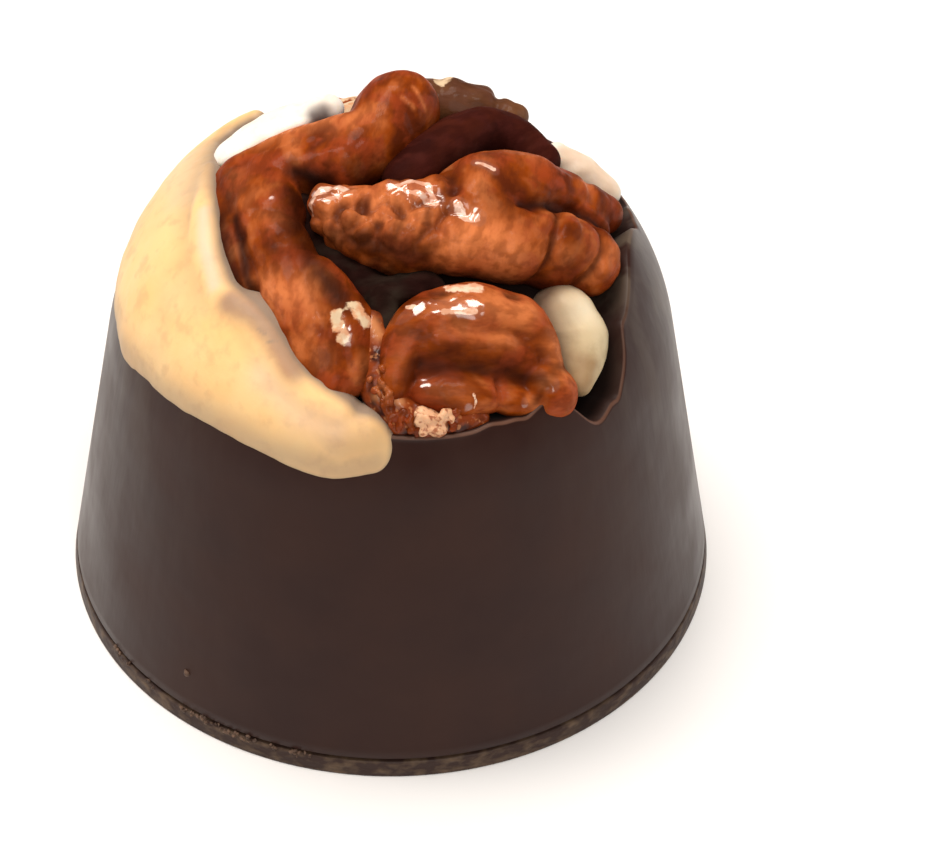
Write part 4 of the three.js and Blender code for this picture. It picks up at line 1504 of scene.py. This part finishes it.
@dataclass
class Cup:
    """The moulded body: wall, shoulder, broken rim, the moat inside it and the sunk crown."""

    foot: float = 1.12
    foot_rounding: float = 0.15
    rim_height: float = 22.0
    rim_width: float = 0.24
    rim_rounding: float = 0.07
    recess_depth: float = 2.6
    moat_width: float = 1.3
    crown_depth: float = 3.2
    segments: int = 384
    wall_rows: int = 30
    shoulder_rows: int = 16
    inner_rows: int = 6
    crown_rows: int = 12
    rim_highlight_share: float = 0.55  # how much painted highlight shows on the rim's edge
    unhighlighted_side: Wave = Wave(-14, 22)  # the side where the painted highlight doesn't show
    haze_share: float = 0.36  # how much the painted reflection shows on the shoulder's left and right sides
    haze_start: float = 8.0  # the height where it starts
    haze_full: float = 20.0
    moat_rows: int = 3  # the rows over which painted shade darkens the moat
    grey: Wave = Wave(-8, 20)  # the side where the moat's wall is low and pale: less painted shade, and a painted reflection
    grey_share: float = 0.6
    waves: tuple[Wave, ...] = (  # of the rim's height: the wide ones and then the chips of its broken edge
        Wave(-76, 34, -1.1), Wave(-46, 5.5, -2.4), Wave(-37.5, 6, -1.8), Wave(-8, 17, 1.6),
        Wave(62, 22, 0.5), Wave(128, 20, -0.6), Wave(-56, 2.2, 0.25), Wave(-39, 1.6, -0.3),
        Wave(-30, 2.0, 0.3), Wave(-62, 1.8, -0.18), Wave(-70, 2.4, 0.16), Wave(4, 1.8, -0.3),
        Wave(12, 2.4, 0.3), Wave(30, 3.0, -0.3), Wave(95, 4.0, 0.3), Wave(150, 3.0, -0.4),
    )

    def rim_at(self, azimuth: float) -> float:
        """Gives the rim's height in a direction."""
        return self.rim_height + sum(wave.over(math.degrees(azimuth)) for wave in self.waves)

    def profile(self, azimuth: float) -> list[Profile]:
        """Gives the outline in a direction, from the foot's edge up the wall and in to the crown's middle.

        Args:
            azimuth: The direction, in radians from the right.

        Returns:
            A radius and a height for each row.
        """
        rim = MOULD.climb_at(self.rim_at(azimuth))
        inner = rim + self.rim_width / MOULD.shoulder_radius
        moat = inner + self.moat_width / MOULD.shoulder_radius
        rows = [(MOULD.wall_radius(self.foot) - self.foot_rounding, self.foot)]
        for height in np.linspace(self.foot + self.foot_rounding, MOULD.tangent_height, self.wall_rows):
            rows.append((MOULD.wall_radius(height), height))
        edge = self.rim_rounding / MOULD.shoulder_radius
        points = [(climb, 0.0) for climb in np.linspace(MOULD.lean, rim, self.shoulder_rows + 1)[1:]]
        points += [(rim + edge, 0.3 * self.rim_rounding), (inner - edge, self.rim_rounding)]
        depths = np.linspace(2 * self.rim_rounding, self.recess_depth, self.inner_rows)
        points += [(inner, depth) for depth in depths] + [(moat, self.recess_depth)]
        crown = np.linspace(moat, RIGHT_ANGLE, self.crown_rows + 1)[1:-1]
        points += [(climb, self.crown_depth) for climb in crown]
        return rows + [MOULD.shoulder_point(climb, depth) for climb, depth in points]

    def model(self) -> bpy.types.Object:
        """Draws the body up from a disc, row by row, and then gives each direction its own outline.

        Returns:
            The body, in millimetres.
        """
        rows = self.profile(math.pi)
        bpy.ops.object.select_all(action="DESELECT")
        bpy.ops.mesh.primitive_circle_add(
            vertices=self.segments, radius=rows[0][0], fill_type="NGON", location=(0, 0, rows[0][1]),
        )
        bpy.ops.object.transform_apply(location=True)
        piece = new_piece("chocolate_shell")
        bpy.ops.mesh.select_all(action="SELECT")
        for (radius, height), (next_radius, next_height) in zip(rows, rows[1:]):
            bpy.ops.mesh.extrude_region_move(TRANSFORM_OT_translate={"value": (0, 0, next_height - height)})
            grow = next_radius / radius
            bpy.ops.transform.resize(value=(grow, grow, 1), center_override=(0, 0, next_height))
        bpy.ops.object.mode_set(mode="OBJECT")
        self.give_directions(piece, np.array(rows))
        bpy.ops.object.mode_set(mode="EDIT")
        bpy.ops.mesh.select_all(action="SELECT")
        bpy.ops.mesh.normals_make_consistent(inside=False)
        bpy.ops.object.mode_set(mode="OBJECT")
        return piece

    def give_directions(self, piece: bpy.types.Object, drawn: np.ndarray) -> None:
        """Moves each row to where the rim's height in its direction puts it, and marks the broken edge for a
        painted highlight, the moat for painted shade and the sides for a painted reflection.

        Args:
            piece: The body as it was drawn up.
            drawn: The outline that it was drawn up with.
        """
        places = points_of(piece)
        outline = np.column_stack((np.hypot(places[:, 0], places[:, 1]), places[:, 2]))
        row = np.linalg.norm(outline[:, None] - drawn[None], axis=2).argmin(axis=1)
        azimuth = np.arctan2(places[:, 1], places[:, 0])
        moved = np.empty_like(places)
        for direction in np.unique(azimuth.round(5)):
            here = np.abs(azimuth - direction) < 1e-4
            radius, height = np.array(self.profile(direction))[row[here]].T
            right, back = radius * math.cos(direction), radius * math.sin(direction)
            moved[here] = np.column_stack((right, back, height))
        move_points(piece, moved)
        rim_row = 1 + self.wall_rows + self.shoulder_rows
        degrees = np.degrees(azimuth)
        grey = self.grey.over(degrees)
        # painted highlight along the rim's edge, left out on one side
        edge = (row >= rim_row) & (row <= rim_row + 1)
        keep_values(piece, "broken", edge * self.rim_highlight_share * (1 - self.unhighlighted_side.over(degrees)))
        # painted shade in the moat and the crown, less of it on the grey side
        moat = np.clip((row - rim_row - 1) / self.moat_rows, 0, 1)
        keep_values(piece, "sunk", moat * (1 - self.grey_share * grey))
        # painted reflection on the shoulder's left and right sides, and on the moat's wall on the grey side
        sideways = np.abs(np.cos(azimuth)) ** 4
        share = np.clip((moved[:, 2] - self.haze_start) / (self.haze_full - self.haze_start), 0, 1)
        painted_reflection = sideways * share * (row < rim_row) * self.haze_share
        keep_values(piece, "reflection_mask", np.maximum(painted_reflection, grey * (row >= rim_row)))

    def make(self) -> None:
        """Models and finishes the body."""
        piece = self.model()
        move_points(piece, points_of(piece) * METRE)
        finished(piece, DarkChocolate().material(), "dark_chocolate", "chocolate_cup")


@dataclass
class ClosingDisc:
    """The thin disc that closes the foot, scraped flat and a little ragged at its edge."""

    height: float = 1.0
    bevel: float = 0.1
    segments: int = 256

    def make(self) -> None:
        """Models and finishes the disc."""
        bpy.ops.object.select_all(action="DESELECT")
        bpy.ops.mesh.primitive_cylinder_add(
            vertices=self.segments, radius=MOULD.base_radius, depth=self.height,
            location=(0, 0, self.height / 2),
        )
        bpy.ops.object.transform_apply(location=True)
        piece = new_piece("foot_disc")
        bpy.ops.mesh.select_all(action="DESELECT")
        mesh = bmesh.from_edit_mesh(piece.data)
        for face in mesh.faces:
            face.select_set(face.normal.z > 0.9)
        bmesh.update_edit_mesh(piece.data)
        grow = MOULD.wall_radius(self.height) / MOULD.base_radius
        bpy.ops.transform.resize(value=(grow, grow, 1), center_override=(0, 0, self.height))
        bpy.ops.mesh.select_all(action="SELECT")
        bpy.ops.mesh.bevel(offset=self.bevel, segments=3)
        bpy.ops.object.mode_set(mode="OBJECT")
        move_points(piece, points_of(piece) * METRE)
        finished(piece, DiscChocolate().material(), "disc_chocolate", "closing_disc")


@dataclass
class SeamCrumbs:
    """The crumbs of chocolate that stick out of the seam above the closing disc."""

    size: float = 0.16
    height: float = 1.06
    count: int = 60
    heaps: tuple[float, ...] = (-141.0, -123.0, -118.0, -109.0)  # in degrees from the right
    spread: float = 3.6
    stray_direction: float = -127.1  # of the one that sticks to the wall
    stray_height: float = 3.5
    stray_scale: tuple[float, float, float] = (1.5, 1.1, 1.3)
    depth: float = 0.03  # how deep they sit in the wall

    def make(self) -> None:
        """Models one crumb, copies it along the seam and finishes the lot as one piece."""
        chance = np.random.default_rng(7)
        bpy.ops.object.select_all(action="DESELECT")
        bpy.ops.mesh.primitive_ico_sphere_add(subdivisions=2, radius=self.size)
        first = bpy.context.object
        round_points = points_of(first)
        move_points(first, round_points * (1 + chance.uniform(-0.25, 0.25, (len(round_points), 1))))
        copies = [first]
        for _ in range(self.count - 1):
            bpy.ops.object.duplicate(linked=False)
            copies.append(bpy.context.object)
        for crumb in copies:
            direction = math.radians(chance.normal(chance.choice(self.heaps), self.spread))
            height = self.height + chance.uniform(-0.3, 0.08)
            crumb.rotation_euler = chance.uniform(0, math.pi, 3)
            crumb.scale = chance.uniform(0.35, 1.0, 3)
            if crumb is first:
                direction, height = math.radians(self.stray_direction), self.stray_height
                crumb.scale = self.stray_scale
            radius = MOULD.wall_radius(height) - self.depth
            crumb.location = (radius * math.cos(direction), radius * math.sin(direction), height)
            crumb.select_set(True)
        bpy.context.view_layer.objects.active = first
        bpy.ops.object.join()
        bpy.ops.object.transform_apply(location=True, rotation=True, scale=True)
        first.name = first.data.name = "seam_crumbs"
        move_points(first, points_of(first) * METRE)
        finished(first, SEAM_CRUMB.material(), "disc_chocolate")


# ---- The studio ----


@dataclass(frozen=True)
class Lamp:
    """A soft light that faces the candy, in metres and watts."""

    name: str
    place: tuple[float, float, float]
    size: tuple[float, float]
    power: float
    tint: Colour = (255, 255, 255)

    def light(self, towards: Vector) -> None:
        """Puts the lamp up.

        Args:
            towards: The place that it faces.
        """
        bpy.ops.object.light_add(type="AREA", location=self.place)
        lamp = bpy.context.object
        lamp.name = self.name
        lamp.data.shape = "RECTANGLE"
        lamp.data.size, lamp.data.size_y = self.size
        lamp.data.energy = self.power
        lamp.data.color = linear(self.tint)[:3]
        lamp.rotation_euler = (towards - lamp.location).to_track_quat("-Z", "Y").to_euler()


@dataclass(frozen=True)
class Studio:
    """A plain pale floor, soft lights and the camera at the photograph's angle, in metres."""

    target: Vector = Vector((0.0, 0.0, 0.012))
    distance: float = 0.12
    elevation: float = math.radians(40.49)
    lens: float = 77.29
    shift: tuple[float, float] = (0.0808, -0.0448)
    floor_size: float = 3.0
    floor_colour: Colour = (250, 250, 250)
    air: Colour = (235, 235, 235)
    air_strength: float = 0.25
    lamps: tuple[Lamp, ...] = (
        Lamp("key", (-0.08, 0.1, 0.42), (0.28, 0.16), 1.5, (255, 244, 234)),
        Lamp("top", (0.08, -0.08, 0.4), (0.12, 0.08), 0.35, (255, 248, 240)),
        Lamp("front", (0.05, -0.36, 0.34), (0.3, 0.3), 0.8, (255, 248, 240)),
        Lamp("right", (0.42, 0.1, 0.16), (0.24, 0.24), 0.3, (250, 252, 255)),
        Lamp("left", (-0.42, 0.02, 0.16), (0.24, 0.24), 0.4, (255, 252, 246)),
    )

    def camera(self) -> None:
        """Puts the camera up."""
        away = Vector((0, -math.cos(self.elevation), math.sin(self.elevation))) * self.distance
        bpy.ops.object.camera_add(location=self.target + away, rotation=(RIGHT_ANGLE - self.elevation, 0, 0))
        camera = bpy.context.object
        camera.data.lens = self.lens
        camera.data.shift_x, camera.data.shift_y = self.shift
        camera.data.clip_start = 0.01
        bpy.context.scene.camera = camera

    def floor(self) -> None:
        """Lays the floor."""
        bpy.ops.mesh.primitive_plane_add(size=self.floor_size, location=(0, 0, 0))
        floor = bpy.context.object
        floor.name = "floor"
        paper = Graph("floor_paper")
        paper.shade(base_color=self.floor_colour, roughness=0.9, specular_ior_level=0.1)
        floor.data.materials.append(paper.material)

    def set_up(self) -> None:
        """Puts up the floor, the lights, the air and the camera."""
        self.floor()
        self.camera()
        for lamp in self.lamps:
            lamp.light(self.target)
        world = bpy.data.worlds.new("air")
        world.use_nodes = True
        background = world.node_tree.nodes["Background"]
        background.inputs["Color"].default_value = linear(self.air)
        background.inputs["Strength"].default_value = self.air_strength
        bpy.context.scene.world = world
        bpy.context.scene.view_settings.view_transform = "Standard"


# ---- Assembly ----


def main() -> None:
    """Builds the candy piece by piece and sets up the studio."""
    logging.basicConfig(level=logging.INFO, format="%(message)s")
    Cup().make()
    ClosingDisc().make()
    SeamCrumbs().make()
    toppings = [
        top_pecan(), right_pecan(), front_pecan(), crown_bed(), caramel_pool(), left_pecan(), dark_pecan(),
        back_pecan(), rear_pecan(), cream_drop(), *cream_smears(), cream_band(), *crumbs(),
    ]
    for topping in toppings:
        topping.make()
    Studio().set_up()


if __name__ == "__main__":
    main()
